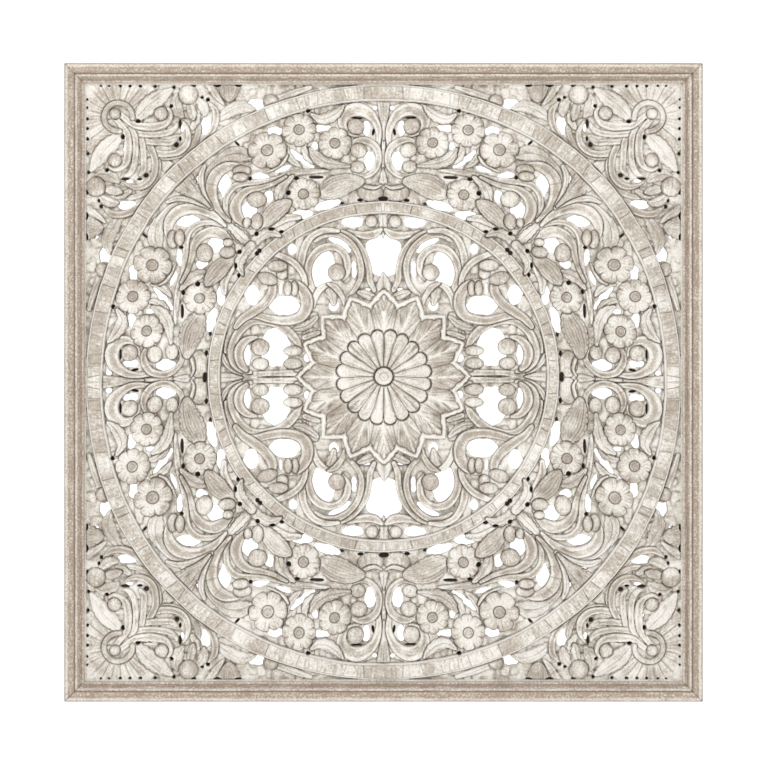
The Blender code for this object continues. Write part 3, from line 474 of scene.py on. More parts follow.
def lay_band(kind, stations):
    """A strand, leaf, bract or fan."""
    line = smooth_line(stations)
    window, x, y, inside, offset, along, half = band_field(line)
    if not inside.size:
        return
    start = line[0, 0] + 3 * line[0, 1]
    mark = gouged(along, offset, start)
    t = np.clip(np.abs(offset) / half, 0, 1)
    rise = CREST - EDGE
    wash = 0.44 + 0.18 * math.sin(start) + 0.24 * tooled(x, y) - 0.18 * mark
    cuts = cross_cuts(along, start)
    scratch = 0.5 * smooth(0.3, 0.9, -mark)
    if kind == "strand":
        dish = smooth(6.5, 10.5, 2 * half)
        hollow = 0.42 * dish * bump(t, 0.5)
        height = EDGE + rise * (dome(t, 3) - hollow - 0.10 * cuts)
        seam = 0.45 * bump(offset + 0.18 * half * mark, 0.8) * smooth(2.5, 4.0, half) * (1 - dish)
        wash = wash + dish * 0.4 * bump(t, 0.5)
        dark = np.maximum.reduce([0.5 * cuts, scratch, seam])
        pale = smooth(0.35, 0.7, t) * (0.30 + 0.35 * dish) + 0.25 * mark
    elif kind in ("leaf", "bract"):
        lobes = np.abs(np.sin(np.pi * along / 8.5 + start))
        inside = inside - smooth(3.5, 7.0, half) * 1.5 * (1 - lobes)
        vein = bump(offset, 0.8) * smooth(2.0, 3.5, half)
        slant = (along - 1.7 * np.abs(offset)) / 4.4 + 0.25 * mark
        ribs = bump(np.abs(slant - np.round(slant)) * 4.4, 0.8)
        ribs = ribs * smooth(0.1, 0.3, t) * smooth(3.0, 5.0, half)
        shell = dome(t, 2.4)
        height = EDGE + rise * 1.1 * (shell - 0.26 * vein - 0.14 * ribs) + 0.2 * mark
        dark = np.maximum.reduce([0.5 * vein, 0.36 * ribs, scratch])
        pale = 0.35 * smooth(0.2, 0.6, t) * (1 - ribs) + 0.2 * bump(np.abs(offset) - 1.8, 0.9)
        wash = wash + 0.08
        if kind == "bract":
            wash = wash - 0.34
            pale = pale + 0.35
    else:
        count = max(3, int(round(line[:, 2].max() / 4.6)))
        phase = (offset / half + 1) / 2 * count + 0.2 * mark
        ridge = np.abs(np.sin(np.pi * phase)) ** 0.7
        fade = smooth(2.0, 5.0, half)
        shell = dome(t, 4)
        height = EDGE + rise * 1.1 * shell * (1 - 0.30 * fade * (1 - ridge)) + 0.15 * mark
        scallop = np.abs(np.sin(np.pi * along / 6.5 + start))
        inside = inside - smooth(9.0, 15.0, half) * 2.0 * (1 - scallop)
        vein = bump(np.abs(scallop) * 2.1, 0.7) * smooth(0.55, 0.8, t) * smooth(9.0, 15.0, half)
        dark = np.maximum.reduce([0.55 * fade * np.clip(1 - ridge * 2.2, 0, 1), scratch, 0.5 * vein])
        pale = 0.25 * ridge
        wash = wash + 0.10 + 0.26 * smooth(10.0, 16.0, half)
    relief.lay(window, inside, height, wash, dark, pale)


def oval_field(values):
    """Over a window round an oval: its distance inside, and the place in it as shares of its size."""
    x0, y0, across, high, turn = (*values, 0.0)[:5]
    window, x, y = relief.round_window(x0, y0, max(across, high) + MARGIN)
    cosine = math.cos(math.radians(turn))
    sine = math.sin(math.radians(turn))
    u = ((x - x0) * cosine + (y - y0) * sine) / across
    v = ((y - y0) * cosine - (x - x0) * sine) / high
    away = np.hypot(u, v)
    slope = np.hypot(u / across, v / high) / np.maximum(away, 0.01)
    inside = (1 - away) / np.maximum(slope, 0.01)
    return window, x, y, inside, away


def lay_ball(values):
    """A domed bud, browner towards the top and hatched down its side."""
    window, x, y, inside, away = oval_field(values)
    start = values[0] + 3 * values[1]
    mark = gouged(y, x, start, 1.4, 9.0)
    over_top = (y - values[1]) / max(values[2:4])
    height = EDGE + (CREST + 0.6 - EDGE) * dome(away, 2) + 0.15 * mark
    wash = 0.56 + 0.28 * tooled(x * 1.3, y) + 0.22 * smooth(0.5, 1.0, away) + 0.18 * over_top - 0.16 * mark
    dark = 0.45 * smooth(0.4, 0.9, -mark)
    relief.lay(window, inside, height, wash, dark, 0.25 * (1 - away) + 0.15 * mark, 0.85)


def lay_pit(values):
    """A drilled blind hole, darkened inside with painted shade."""
    window, x, y, inside, away = oval_field(values)
    sunk = smooth(-0.8, 0.8, inside)
    relief.height[window] += (PIT_FLOOR - relief.height[window]) * sunk
    # Painted shade in and round the hole.
    relief.dark[window] = np.maximum(relief.dark[window], 1.15 * smooth(-1.0, 0.4, inside))


def lay_opening(values):
    """A pierced oval, nibbled unevenly at its edge."""
    window, x, y, inside, away = oval_field(values)
    nibbled = inside - 2.1 + 1.5 * edges(x, y)
    relief.solid[window] = np.minimum(relief.solid[window], -nibbled)


def lay_flower(values):
    """A flower of eight round petals, or six when it is large, a sunken ring and a ringed boss."""
    x0, y0, radius = values
    window, x, y = relief.round_window(x0, y0, radius + MARGIN)
    away = np.hypot(x - x0, y - y0)
    angle = np.arctan2(y - y0, x - x0) + 0.05 * math.sin(y0) * np.sin(3 * np.arctan2(y - y0, x - x0) + x0)
    large = radius > LARGE_FLOWER
    lobe = np.abs(np.cos((3 if large else 4) * angle + 0.6 * math.sin(x0)))
    shallow = 0.76 if large else 0.83
    rim = radius * (shallow + (1 - shallow) * dome(1 - lobe, 2))
    inside = rim - away
    share = away / rim
    ring = 0.30 * radius
    mark = gouged(away, angle * radius, x0 + 3 * y0, 1.5, 12.0)
    cleft = bump(lobe * away, 1.3) * smooth(0.58, 0.85, share)
    crease = bump(lobe * away, 1.8) * smooth(0.35, 0.6, share) * (1 - smooth(0.7, 0.9, share))
    petal = dome(share, 5) - 0.2 * cleft - 0.12 * bump(share - 0.55, 0.14)
    height = EDGE + (PETAL_TOP - EDGE) * petal + 0.18 * mark - 0.3 * crease
    height -= 2.4 * bump(away - ring, 1.1)
    boss = dome(away / ring, 2)
    domed = PETAL_TOP - 2.6 + (BOSS_TOP - PETAL_TOP + 2.0) * boss
    height = np.where(away < ring, np.maximum(height, domed), height)
    blush = smooth(0.62, 0.98, share) * smooth(-0.5, 0.6, tooled(x * 0.8, y * 0.8))
    wash = 0.40 + 0.18 * tooled(x, y) + 0.45 * blush - 0.18 * mark + 0.25 * (away < ring)
    wash = wash + 0.3 * (away < 0.6 * ring)
    dark = np.maximum.reduce([0.95 * bump(away - ring, 0.85), 0.55 * bump(away - 0.58 * ring, 0.7),
                              0.65 * cleft, 0.3 * crease, 0.5 * smooth(0.4, 0.9, -mark)])
    pale = 0.3 * (1 - smooth(0.6, 0.9, share)) * (away > ring) + 0.25 * mark
    relief.lay(window, inside, height, wash, dark, pale, 0.85)


def squared(angle):
    """How much wider the outer ring is at an angle than on the axes."""
    return 1 + OUTER_SQUARENESS * np.sin(2 * angle) ** 2


def lay_ring(radii, seed, stretch=1.0):
    """A flat ring with bevelled edges inside thin lines, worked in uneven blocks."""
    inner, outer = radii
    window, x, y = relief.whole
    angle = relief.angle
    away = relief.away / stretch
    inside = np.minimum(away - inner, outer - away)
    groove = bump(inside - RING_LINE, 0.6)
    random = np.random.default_rng(seed)
    cuts = np.zeros_like(away)
    tone = np.zeros_like(away)
    at = 0.0
    while at < math.pi / 2:
        block = random.uniform(-0.18, 0.22)
        strength = random.uniform(0.25, 1.0)
        lean = random.uniform(-0.25, 0.25)
        off = (angle - at) * away - lean * (away - inner)
        cuts = np.maximum(cuts, strength * bump(off, 0.8) * smooth(2.4, 4.2, inside))
        tone = np.where(off > 0, block, tone)
        at += random.uniform(*RING_BLOCK) / outer
    mark = gouged(away, angle * outer, seed, 1.7, 9.0)
    height = EDGE + (RING_TOP - EDGE) * smooth(-0.5, 2.2, inside) - 0.9 * groove - 1.0 * cuts
    height += (0.30 * tooled(x, y) + 0.2 * mark) * smooth(3, 5, inside)
    wash = 0.56 + tone + 0.2 * drift(x, y) + 0.26 * rough(x, y) - 0.18 * mark
    wash = np.where(inside < RING_LINE, 0.2, wash)
    dark = np.maximum.reduce([0.68 * groove, 0.9 * cuts, 0.45 * smooth(0.5, 1.0, -mark) * (inside > 4)])
    relief.lay(window, inside, height, wash, dark, 0.45 * (inside < 2.6), 0.8)


def lay_ledge(window, away, sixteenth, x, y):
    """The pale zigzag ledge round the leaf tips."""
    outer = LEDGE_TIP - LEDGE_NOTCH * sixteenth + 1.1 * rough(x, y)
    inside = np.where(away < ROSETTE_REACH, (outer - away) * 0.85, FAR_OUTSIDE)
    height = EDGE + (CREST + 0.6 - EDGE) * smooth(0, 2.2, inside)
    dark = 0.3 * smooth(0.5, 0.95, rough(x, y))
    relief.lay(window, inside, height, 0.24 + 0.3 * tooled(x, y), dark, 0.4, 0.45)


def lay_leaves(window, away, turn, sixteenth, x, y):
    """The sixteen pointed leaves, furrowed along, with a pale spine and a ragged edge."""
    leaf_number = np.round(turn * LEAF_COUNT)
    side = np.sign(turn * LEAF_COUNT - leaf_number)
    off = sixteenth * math.pi / LEAF_COUNT * away
    bites = np.abs(np.sin(away / 3.9 + leaf_number + side)) ** 0.6
    edge = LEAF_TIP - LEAF_NOTCH * sixteenth - 3.6 * (1 - bites) * smooth(0.10, 0.26, sixteenth)
    inside = np.where(away < ROSETTE_REACH, (edge - away) * 0.85, FAR_OUTSIDE)
    across_barb = 0.36 * away - 0.93 * off
    mark = gouged(0.93 * away + 0.36 * off, side * across_barb, 7.3 * leaf_number + 1, 1.3, 16.0)
    lane = across_barb / 3.1 + 0.4 * mark
    furrow = bump(np.abs(lane - np.round(lane)) * 3.1, 0.7) * smooth(1.2, 3.0, off)
    split = bump((1 - sixteenth) * math.pi / LEAF_COUNT * away, 1.0)
    spine = bump(off, 1.3)
    height = LEAF_LOW + LEAF_RISE * np.sqrt(np.clip(inside / LEAF_SHOULDER, 0, 1))
    height += 0.25 * mark - 0.8 * furrow - 1.6 * split + 0.5 * spine
    reach = smooth(70, 84, away)
    wash = 0.56 + 0.24 * tooled(x, y) - 0.30 * mark - 0.3 * spine + 0.10 * reach
    dark = np.maximum.reduce([0.46 * furrow * reach, 0.55 * split, 0.6 * smooth(0.3, 0.9, -mark) * reach])
    pale = 0.4 * spine + 0.22 * mark + 0.4 * bump(away - 70.5, 1.6)
    relief.lay(window, inside, height, wash, dark, pale, 0.6)


def lay_petals(window, away, turn, x, y):
    """The twenty rounded petals round the boss, with fine lines drawn out along them."""
    place = turn * PETAL_COUNT - 0.5
    twentieth = np.abs(place - np.round(place)) * 2
    rim = PETAL_NOTCH + PETAL_LOBE * dome(twentieth, 2)
    inside = np.where(away < ROSETTE_REACH, rim - away, FAR_OUTSIDE)
    wide = math.pi / PETAL_COUNT * away
    off = (1 - twentieth) * wide
    mark = gouged(away, turn * 2 * math.pi * 46, 2.0, 1.2, 26.0)
    split = bump(off, 0.8)
    inner_line = bump(off - 0.40 * wide, 0.7) * (1 - smooth(46, 56, away)) * smooth(22, 34, away)
    bowl = np.clip(off / np.maximum(wide, 1), 0, 1)
    height = PETAL_LOW + 3.0 * np.sqrt(bowl) - 1.4 * split - 0.6 * inner_line + 0.22 * mark
    height -= 2.2 * (1 - smooth(0, 4, inside)) + 1.0 * bump(away - 16, 3)
    wash = 0.42 + 0.14 * tooled(x, y) - 0.26 * mark + 0.2 * smooth(0.4, 0.0, bowl)
    tip = bump(inside - 0.6, 1.1) * smooth(0.0, 0.5, 1 - twentieth)
    dark = np.maximum.reduce([0.5 * split, 0.36 * inner_line, 0.6 * smooth(0.25, 0.85, -mark), 0.5 * tip])
    relief.lay(window, inside, height, wash, dark, 0.22 * mark, 1.0)


def lay_rosette():
    """The ledge, the leaves, the petals and the boss."""
    window, x, y = relief.whole
    away = relief.away
    turn = relief.angle / (2 * math.pi)
    sixteenth = np.abs(turn * LEAF_COUNT - np.round(turn * LEAF_COUNT)) * 2
    lay_ledge(window, away, sixteenth, x, y)
    lay_leaves(window, away, turn, sixteenth, x, y)
    lay_petals(window, away, turn, x, y)
    inside = np.where(away < ROSETTE_REACH, ROSETTE_BOSS - away, FAR_OUTSIDE)
    rings = bump(away - 6.5, 0.8)
    height = PETAL_LOW + 6.0 * dome(away / 13.5, 2) - 0.7 * rings
    relief.lay(window, inside, height, 0.42 + 0.2 * rough(x, y), 0.45 * rings, 0.2, 0.9)


def lay_rays():
    """The sunburst between a corner's hook and the frame."""
    reach = RIM_OUTER + 2
    window, x, y = relief.window((SUN_CENTRE - 60, SUN_CENTRE - 60), (reach, reach))
    away = np.hypot(x - SUN_CENTRE, y - SUN_CENTRE)
    angle = np.arctan2(y - SUN_CENTRE, x - SUN_CENTRE) - math.pi / 4
    angle = (angle + math.pi) % (2 * math.pi) - math.pi
    spread = math.radians(RAY_SPREAD)
    inside = np.minimum((spread - np.abs(angle)) * away, away - HOOK_RADIUS + 2)
    inside = np.minimum(inside, RAY_LENGTH - away)
    wide = spread / RAY_COUNT * away
    phase = (angle + spread) / (2 * spread) * RAY_COUNT
    off = np.abs(phase - np.round(phase)) * 2 * wide
    mark = gouged(away, angle * 40, 4.0, 1.3, 18.0)
    valley = bump(off, 0.85)
    spine = bump(wide - off, 0.8)
    tip = RAY_TIP - 6.0 * (1 - np.sqrt(np.clip(off / wide, 0, 1)))
    past_tip = smooth(-1.5, 0.5, np.maximum(x, y) - tip)
    height = EDGE + 4.0 - 2.0 * valley - 0.6 * spine + 0.2 * mark - 1.2 * past_tip
    dark = np.maximum.reduce([0.42 * valley, 0.2 * spine, 0.35 * smooth(0.3, 0.9, -mark)]) * (1 - past_tip)
    wash = 0.46 + 0.24 * tooled(x, y) - 0.24 * mark - 0.2 * past_tip
    relief.lay(window, inside, height, wash, dark, 0.2 * past_tip + 0.2 * mark)


def lay_hook():
    """The round hook in the corner: an arc open towards the middle of the panel."""
    sweep = np.radians(np.linspace(-HOOK_SWEEP, HOOK_SWEEP, 17)) + math.pi / 4
    lay_band("strand", [(SUN_CENTRE + HOOK_RADIUS * math.cos(at), SUN_CENTRE + HOOK_RADIUS * math.sin(at),
                         HOOK_WIDTH) for at in sweep])


def lay_all(items):
    """Lay forms in the order given."""
    makers = {"ball": lay_ball, "flower": lay_flower, "pit": lay_pit, "opening": lay_opening}
    for kind, values in items:
        if kind in BANDS:
            lay_band(kind, values)
        else:
            makers[kind](values)


def lay_ground():
    """The low ground between the forms, roughly cut into overlapping scraps of leaf."""
    window, x, y = relief.whole
    fold = np.abs(lap(x, y))
    line = bump(fold, 0.07)
    relief.height[window] = FLOOR + 3.4 * smooth(0.0, 0.45, fold) + 0.4 * tooled(x, y)
    relief.wash[window] = 0.36 + 0.3 * tooled(x, y) + 0.2 * rough(x, y)
    relief.dark[window] = np.maximum(0.5 * line, 0.35 * smooth(0.4, 0.9, grain(x / 1.6, y / 7.0)))
    relief.pale[window] = 0.35 * smooth(0.25, 0.6, fold)


def carve():
    """Lay every form, from the deepest to the topmost."""
    lay_ground()
    lay_all(both_ways(ovals("opening", CORNER_OPENINGS + GARLAND_OPENINGS)))
    lay_all(ovals("opening", FIELD_OPENINGS))
    lay_rays()
    lay_all(both_ways(CORNER))
    lay_hook()
    lay_all([HOOK_BALL])
    lay_all(both_ways(GARLAND) + FIELD)
    lay_ring(OUTER_RING, 11, squared(relief.angle))
    lay_ring(INNER_RING, 12)
    lay_all(both_ways(OVER_RING))
    lay_rosette()
    lay_all(both_ways(ovals("pit", GARLAND_PITS + CORNER_PITS)))
    _, x, y = relief.whole
    inside = np.maximum(x, y) - RIM_INNER
    relief.solid = np.maximum(relief.solid, inside)
    below = RIM_FRONT - 0.6 + np.clip(-inside, 0, None) * DIP_SLOPE
    relief.height = np.where(inside > 0, RIM_FRONT, np.minimum(relief.height, below))
    for values, share in ((relief.wash, 0.34), (relief.dark, 0.0), (relief.pale, 0.15)):
        values[inside > 0] = share


carve()


def blurred(values, radius):
    """The raster averaged over a square of this radius, twice over."""
    cells = max(1, int(round(radius / CELL)))
    count = 2 * cells + 1
    for _ in range(4):
        padded = np.pad(values, ((cells, cells), (0, 0)), mode="reflect")
        sums = np.pad(np.cumsum(padded, axis=0), ((1, 0), (0, 0)))
        values = ((sums[count:] - sums[:-count]) / count).T
    return values


def wear_and_shade():
    """Let the brown wash settle in the hollows, darkened further with painted shade, and the limewash wear
    bright on what stands up.
    """
    # How far each place lies below the average round it: the hollows get brown wash and painted shade, and
    # what stands up wears pale.
    hollow = blurred(relief.height, 2.5) - relief.height
    relief.wash += 0.07 * np.clip(hollow, -2.5, 2.5)
    relief.pale += 0.14 * np.clip(-hollow, 0, 2.5)
    # Painted shade in the deepest hollows.
    relief.dark += 0.05 * np.clip(hollow - 1.0, 0, 3)
    outside = relief.away > OUTER_RING[1]
    relief.dark = np.where(outside & (relief.dark < 1.0), 0.72 * relief.dark, relief.dark)
    relief.wash += 0.07 * outside
    relief.pale -= 0.07 * outside


wear_and_shade()
lean_x = Noise(21, 62.0)
lean_y = Noise(22, 62.0)
waver_x = Noise(23, 17.0)
waver_y = Noise(24, 17.0)
stain = Noise(25, 45.0)
pool = Noise(26, 30.0)

# The share of the small waver in the carver's unevenness, beside the long lean.
WAVER = 0.5


def lift(away):
    """How far the medallion is lifted above the panel's middle at a distance from it."""
    return MEDALLION_RISE * np.clip((OUTER_RING[0] - away) / (OUTER_RING[0] - INNER_RING[1]), 0, 1)


def folded(gx, gy):
    """A place on the board as its place in the carved quarter, with the carver's unevenness."""
    y = gy - lift(np.hypot(gx, gy))
    y = gy - lift(np.hypot(gx, y))
    steady = 1 - smooth(400, 424, np.maximum(np.abs(gx), np.abs(gy)))
    x = gx + steady * (lean_x(gx, gy) + WAVER * waver_x(gx, gy))
    y = y + steady * (lean_y(gx, gy) + WAVER * waver_y(gx, gy))
    return np.abs(x), np.abs(y)


def sample(values, x, y):
    """The raster's value between its cells."""
    cx = np.clip(x / CELL, 0, values.shape[1] - 1.001)
    cy = np.clip(y / CELL, 0, values.shape[0] - 1.001)
    ix = cx.astype(int)
    iy = cy.astype(int)
    return between(values, (iy, iy + 1), (ix, ix + 1), cx - ix, cy - iy)


def patches(mask):
    """Number the connected patches of a mask, row by row."""
    parent = []

    def root(number):
        while parent[number] != number:
            parent[number] = parent[parent[number]]
            number = parent[number]
        return number

    numbers = np.full(mask.shape, -1)
    before = []
    for row in range(mask.shape[0]):
        steps = np.flatnonzero(np.diff(np.concatenate([[0], mask[row].astype(int), [0]])))
        runs = []
        for start, end in zip(steps[::2], steps[1::2]):
            number = len(parent)
            parent.append(number)
            for other_start, other_end, other in before:
                if other_start < end and start < other_end:
                    parent[root(other)] = root(number)
            runs.append((start, end, number))
            numbers[row, start:end] = number
        before = runs
    roots = np.array([root(number) for number in range(len(parent))])
    numbers[mask] = roots[numbers[mask]]
    return numbers


def board_cells(solid):
    """The grid cells that are wood: nothing loose, no slight openings and no corner-to-corner joins."""
    corners = np.stack([solid[:-1, :-1], solid[:-1, 1:], solid[1:, :-1], solid[1:, 1:]])
    cells = corners.max(axis=0) > 0
    area = (2 * RIM_OUTER / cells.shape[0]) ** 2
    gaps = patches(~cells)
    sizes = np.bincount(gaps[gaps >= 0], minlength=gaps.max() + 2) * area
    cells |= (gaps >= 0) & (sizes[gaps] < SMALLEST_OPENING)
    woods = patches(cells)
    cells &= woods == woods[0, 0]
    for _ in range(3):
        a, b, c, d = cells[:-1, :-1], cells[:-1, 1:], cells[1:, :-1], cells[1:, 1:]
        cross = (a & d & ~b & ~c) | (b & c & ~a & ~d)
        for part in (a, b, c, d):
            part |= cross
    return cells


def board_grid():
    """The board's grid: places of its corners, which cells are wood, and which piece each belongs to."""
    step = GRID_STEP
    count = 2 * int(round(RIM_OUTER / step)) + 1
    line = np.linspace(-RIM_OUTER, RIM_OUTER, count)
    gx, gy = np.meshgrid(line, line)
    solid = sample(relief.solid, *folded(gx, gy))
    cells = board_cells(solid)
    middle = (line[:-1] + line[1:]) / 2
    mx, my = np.meshgrid(middle, middle)
    fx, fy = folded(mx, my)
    away = np.hypot(fx, fy)
    quarter = 2 * (my > 0) + (mx > 0)
    beyond = away > OUTER_RING[1] * squared(np.arctan2(fy, fx))
    piece = np.where(away < INNER_RING[1], 0, np.where(beyond, 5 + quarter, 1 + quarter))
    piece = np.where(cells, piece, -1)
    near = np.full((4, *gx.shape), -1)
    near[0, :-1, :-1] = near[1, :-1, 1:] = near[2, 1:, :-1] = near[3, 1:, 1:] = piece
    used = near.max(axis=0) >= 0
    seam = used & (np.where(near < 0, 99, near).min(axis=0) != near.max(axis=0))
    step = line[1] - line[0]
    for _ in range(3):
        solid = sample(relief.solid, *folded(gx, gy))
        up, across = np.gradient(solid)
        length = np.hypot(up, across) + 1e-6
        move = np.where(solid < 0, np.clip(-solid, 0, 1.3 * step), 0)
        gx = gx + np.where(used, move * across / length, 0)
        gy = gy + np.where(used, move * up / length, 0)
    for radius, is_outer, inner in ((INNER_RING[1], False, (0,)), (OUTER_RING[1], True, (1, 2, 3, 4))):
        has_inner = np.isin(near, inner).any(axis=0)
        has_outer = (near > max(inner)).any(axis=0)
        fx, fy = folded(gx, gy)
        away = np.hypot(fx, fy) / (squared(np.arctan2(fy, fx)) if is_outer else 1.0)
        pull = np.where(has_inner & has_outer & (solid > 1.5), radius - away, 0)
        pull = np.clip(pull, -1.2 * step, 1.2 * step)
        middle_y = gy - lift(away)
        gx, gy = gx + pull * gx / away, gy + pull * middle_y / away
    return gx, gy, piece, seam


def heights(gx, gy):
    """The height of the carving at places on the board, with the marks of the tools."""
    height = sample(relief.height, *folded(gx, gy))
    steady = 1 - smooth(425, 426.5, np.maximum(np.abs(gx), np.abs(gy)))
    return height + steady * (0.13 * rough(gx, gy) + 0.22 * tooled(gx + 300, gy + 300))


def piece_mesh(name, gx, gy, depth, cells):
    """A closed shell over some of the grid's cells: the carved front, a flat back and the walls."""
    rows, cols = np.nonzero(cells)
    wide = gx.shape[1]
    first = rows * wide + cols
    quads = np.stack([first, first + 1, first + wide + 1, first + wide], axis=1)
    padded = np.pad(cells, 1)
    walls = []
    neighbours = {(-1, 0): (0, 1), (0, 1): (1, 2), (1, 0): (2, 3), (0, -1): (3, 0)}
    for (down, right), (start, end) in neighbours.items():
        bare = ~padded[rows + 1 + down, cols + 1 + right]
        walls.append(quads[bare][:, [start, end]])
    walls = np.concatenate(walls)
    used, compact = np.unique(quads, return_inverse=True)
    quads = compact.reshape(-1, 4)
    start, end = np.searchsorted(used, walls).T
    count = len(used)
    sides = np.stack([end, start, start + count, end + count], axis=1)
    faces = np.concatenate([quads, quads[:, ::-1] + count, sides])
    x = gx.ravel()[used] * DRAWN_UNIT
    z = gy.ravel()[used] * DRAWN_UNIT + PANEL_MIDDLE
    front = np.stack([x, -depth.ravel()[used] / 1000, z], axis=1)
    back = np.stack([x, np.full(count, -BOARD_BACK), z], axis=1)
    return quick_mesh(name, np.concatenate([front, back]), faces), used


def quick_mesh(name, points, faces):
    """A mesh from arrays of points and four-sided faces."""
    mesh = bpy.data.meshes.new(name)
    mesh.vertices.add(len(points))
    mesh.vertices.foreach_set("co", points.astype(np.float32).ravel())
    mesh.loops.add(faces.size)
    mesh.loops.foreach_set("vertex_index", faces.astype(np.int32).ravel())
    mesh.polygons.add(len(faces))
    mesh.polygons.foreach_set("loop_start", np.arange(0, faces.size, 4, dtype=np.int32))
    mesh.update(calc_edges=True)
    return mesh


def in_scene(name, data):
    """A mesh, a light or a camera as an object of the scene."""
    thing = bpy.data.objects.new(name, data)
    bpy.context.scene.collection.objects.link(thing)
    return thing


def thinned(thing, share, locked):
    """Leave an object only a share of its faces, with the locked corners kept."""
    count = len(thing.data.vertices)
    free = np.ones(count, dtype=bool)
    free[locked] = False
    group = thing.vertex_groups.new(name="free")
    group.add(np.flatnonzero(free).tolist(), 1.0, "REPLACE")
    thin = thing.modifiers.new("thin", "DECIMATE")
    thin.ratio = min(1.0, share)
    thin.vertex_group = group.name
    bpy.context.view_layer.update()
    mesh = bpy.data.meshes.new_from_object(thing.evaluated_get(bpy.context.evaluated_depsgraph_get()))
    thing.modifiers.clear()
    thing.vertex_groups.clear()
    thing.data = mesh


def colour_corners(mesh, wash, dark, pale):
    """Keep the three shares of the colouring with the mesh, for its material."""
    looks = np.stack([wash, dark, pale, np.ones_like(wash)], axis=1)
    layer = mesh.color_attributes.new("look", "FLOAT_COLOR", "POINT")
    layer.data.foreach_set("color", np.clip(looks, 0, 1.2).astype(np.float32).ravel())


def shade(mesh, material, crease):
    """Shade a mesh smooth but for its creases, in its material."""
    mesh.polygons.foreach_set("use_smooth", np.ones(len(mesh.polygons), dtype=bool))
    mesh.set_sharp_from_angle(angle=math.radians(crease))
    mesh.materials.clear()
    mesh.materials.append(material)


def finished_piece(thing, material):
    """Shading, colouring and material of a piece of the board."""
    mesh = thing.data
    places = np.empty(len(mesh.vertices) * 3, dtype=np.float32)
    mesh.vertices.foreach_get("co", places)
    places = places.reshape(-1, 3)
    gx = places[:, 0] / DRAWN_UNIT
    gy = (places[:, 2] - PANEL_MIDDLE) / DRAWN_UNIT
    fx, fy = folded(gx, gy)
    back = places[:, 1] > -BOARD_BACK - 0.0005
    behind = ((relief.wash, 0.55), (relief.dark, 0.1), (relief.pale, 0.0))
    wash, dark, pale = (np.where(back, share, sample(values, fx, fy)) for values, share in behind)
    pooled = smooth(0.25, 0.75, pool(gx, gy))
    wash = wash + np.where(back, 0.0, 0.14 * stain(gx, gy) - 0.25 * pooled)
    pale = pale + np.where(back, 0.0, 0.35 * pooled)
    colour_corners(mesh, wash, dark, pale)
    shade(mesh, material, 58)
    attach(thing, "root")
    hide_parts("carved_panel")


def board(material):
    """The board, in pieces that meet under the edges of the two rings and on the axes."""
    gx, gy, piece, seam = board_grid()
    depth = heights(gx, gy)
    quarters = [f"{part}_{side}" for part in ("garland", "corner") for side in ("sw", "se", "nw", "ne")]
    for number, name in enumerate(["medallion", *quarters]):
        mesh, used = piece_mesh(name, gx, gy, depth, piece == number)
        thing = in_scene(name, mesh)
        locked = np.flatnonzero(seam.ravel()[used])
        goal = TRIANGLES[name.split("_")[0]]
        thinned(thing, goal / (2 * len(mesh.polygons)), np.concatenate([locked, locked + len(used)]))
        finished_piece(thing, material)


# The moulding's beads and grooves: how far in from the panel's edge each lies, its width and its strength.
# What stands further forward than the face level is the moulded face.
BEADS = ((3.6, 1.6, 1.0), (17.6, 1.2, 0.9), (27.0, 1.0, 0.5))
GROOVES = ((0.3, 1.0, 0.8), (6.4, 0.9, 0.25), (14.4, 1.6, 0.68), (23.6, 1.9, 0.5))
FACE_LEVEL = 21
RAIL_STATIONS = 161


def rail_section():
    """The moulding's section as the solids have it, with its rounds made smooth."""
    face = [(0.0, 25.8), (1.0, 27.5), (2.2, 28.0), (3.6, 27.3), (4.5, 25.6), (6.8, 24.9), (9.8, 24.6),
            (12.6, 24.8), (14.8, 25.4), (15.6, 26.6), (17.0, 26.6), (17.8, 25.4), (19.0, 22.0), (21.2, 22.0),
            (22.4, 23.6), (24.4, 23.4), (26.2, 23.0), (27.0, 22.0)]
    wide = FRAME_WIDTH * 1000
    smooth_face = np.clip(smooth_line(face, 3), (0, 0), (wide, FRAME_DEPTH * 1000))
    hidden_front = RIM_FRONT + FIT_GAP * 1000
    inner = wide - LIP_COVER * 1000
    return np.vstack([smooth_face, [(wide, hidden_front), (inner, hidden_front), (inner, 0.0), (0.0, 0.0)]])


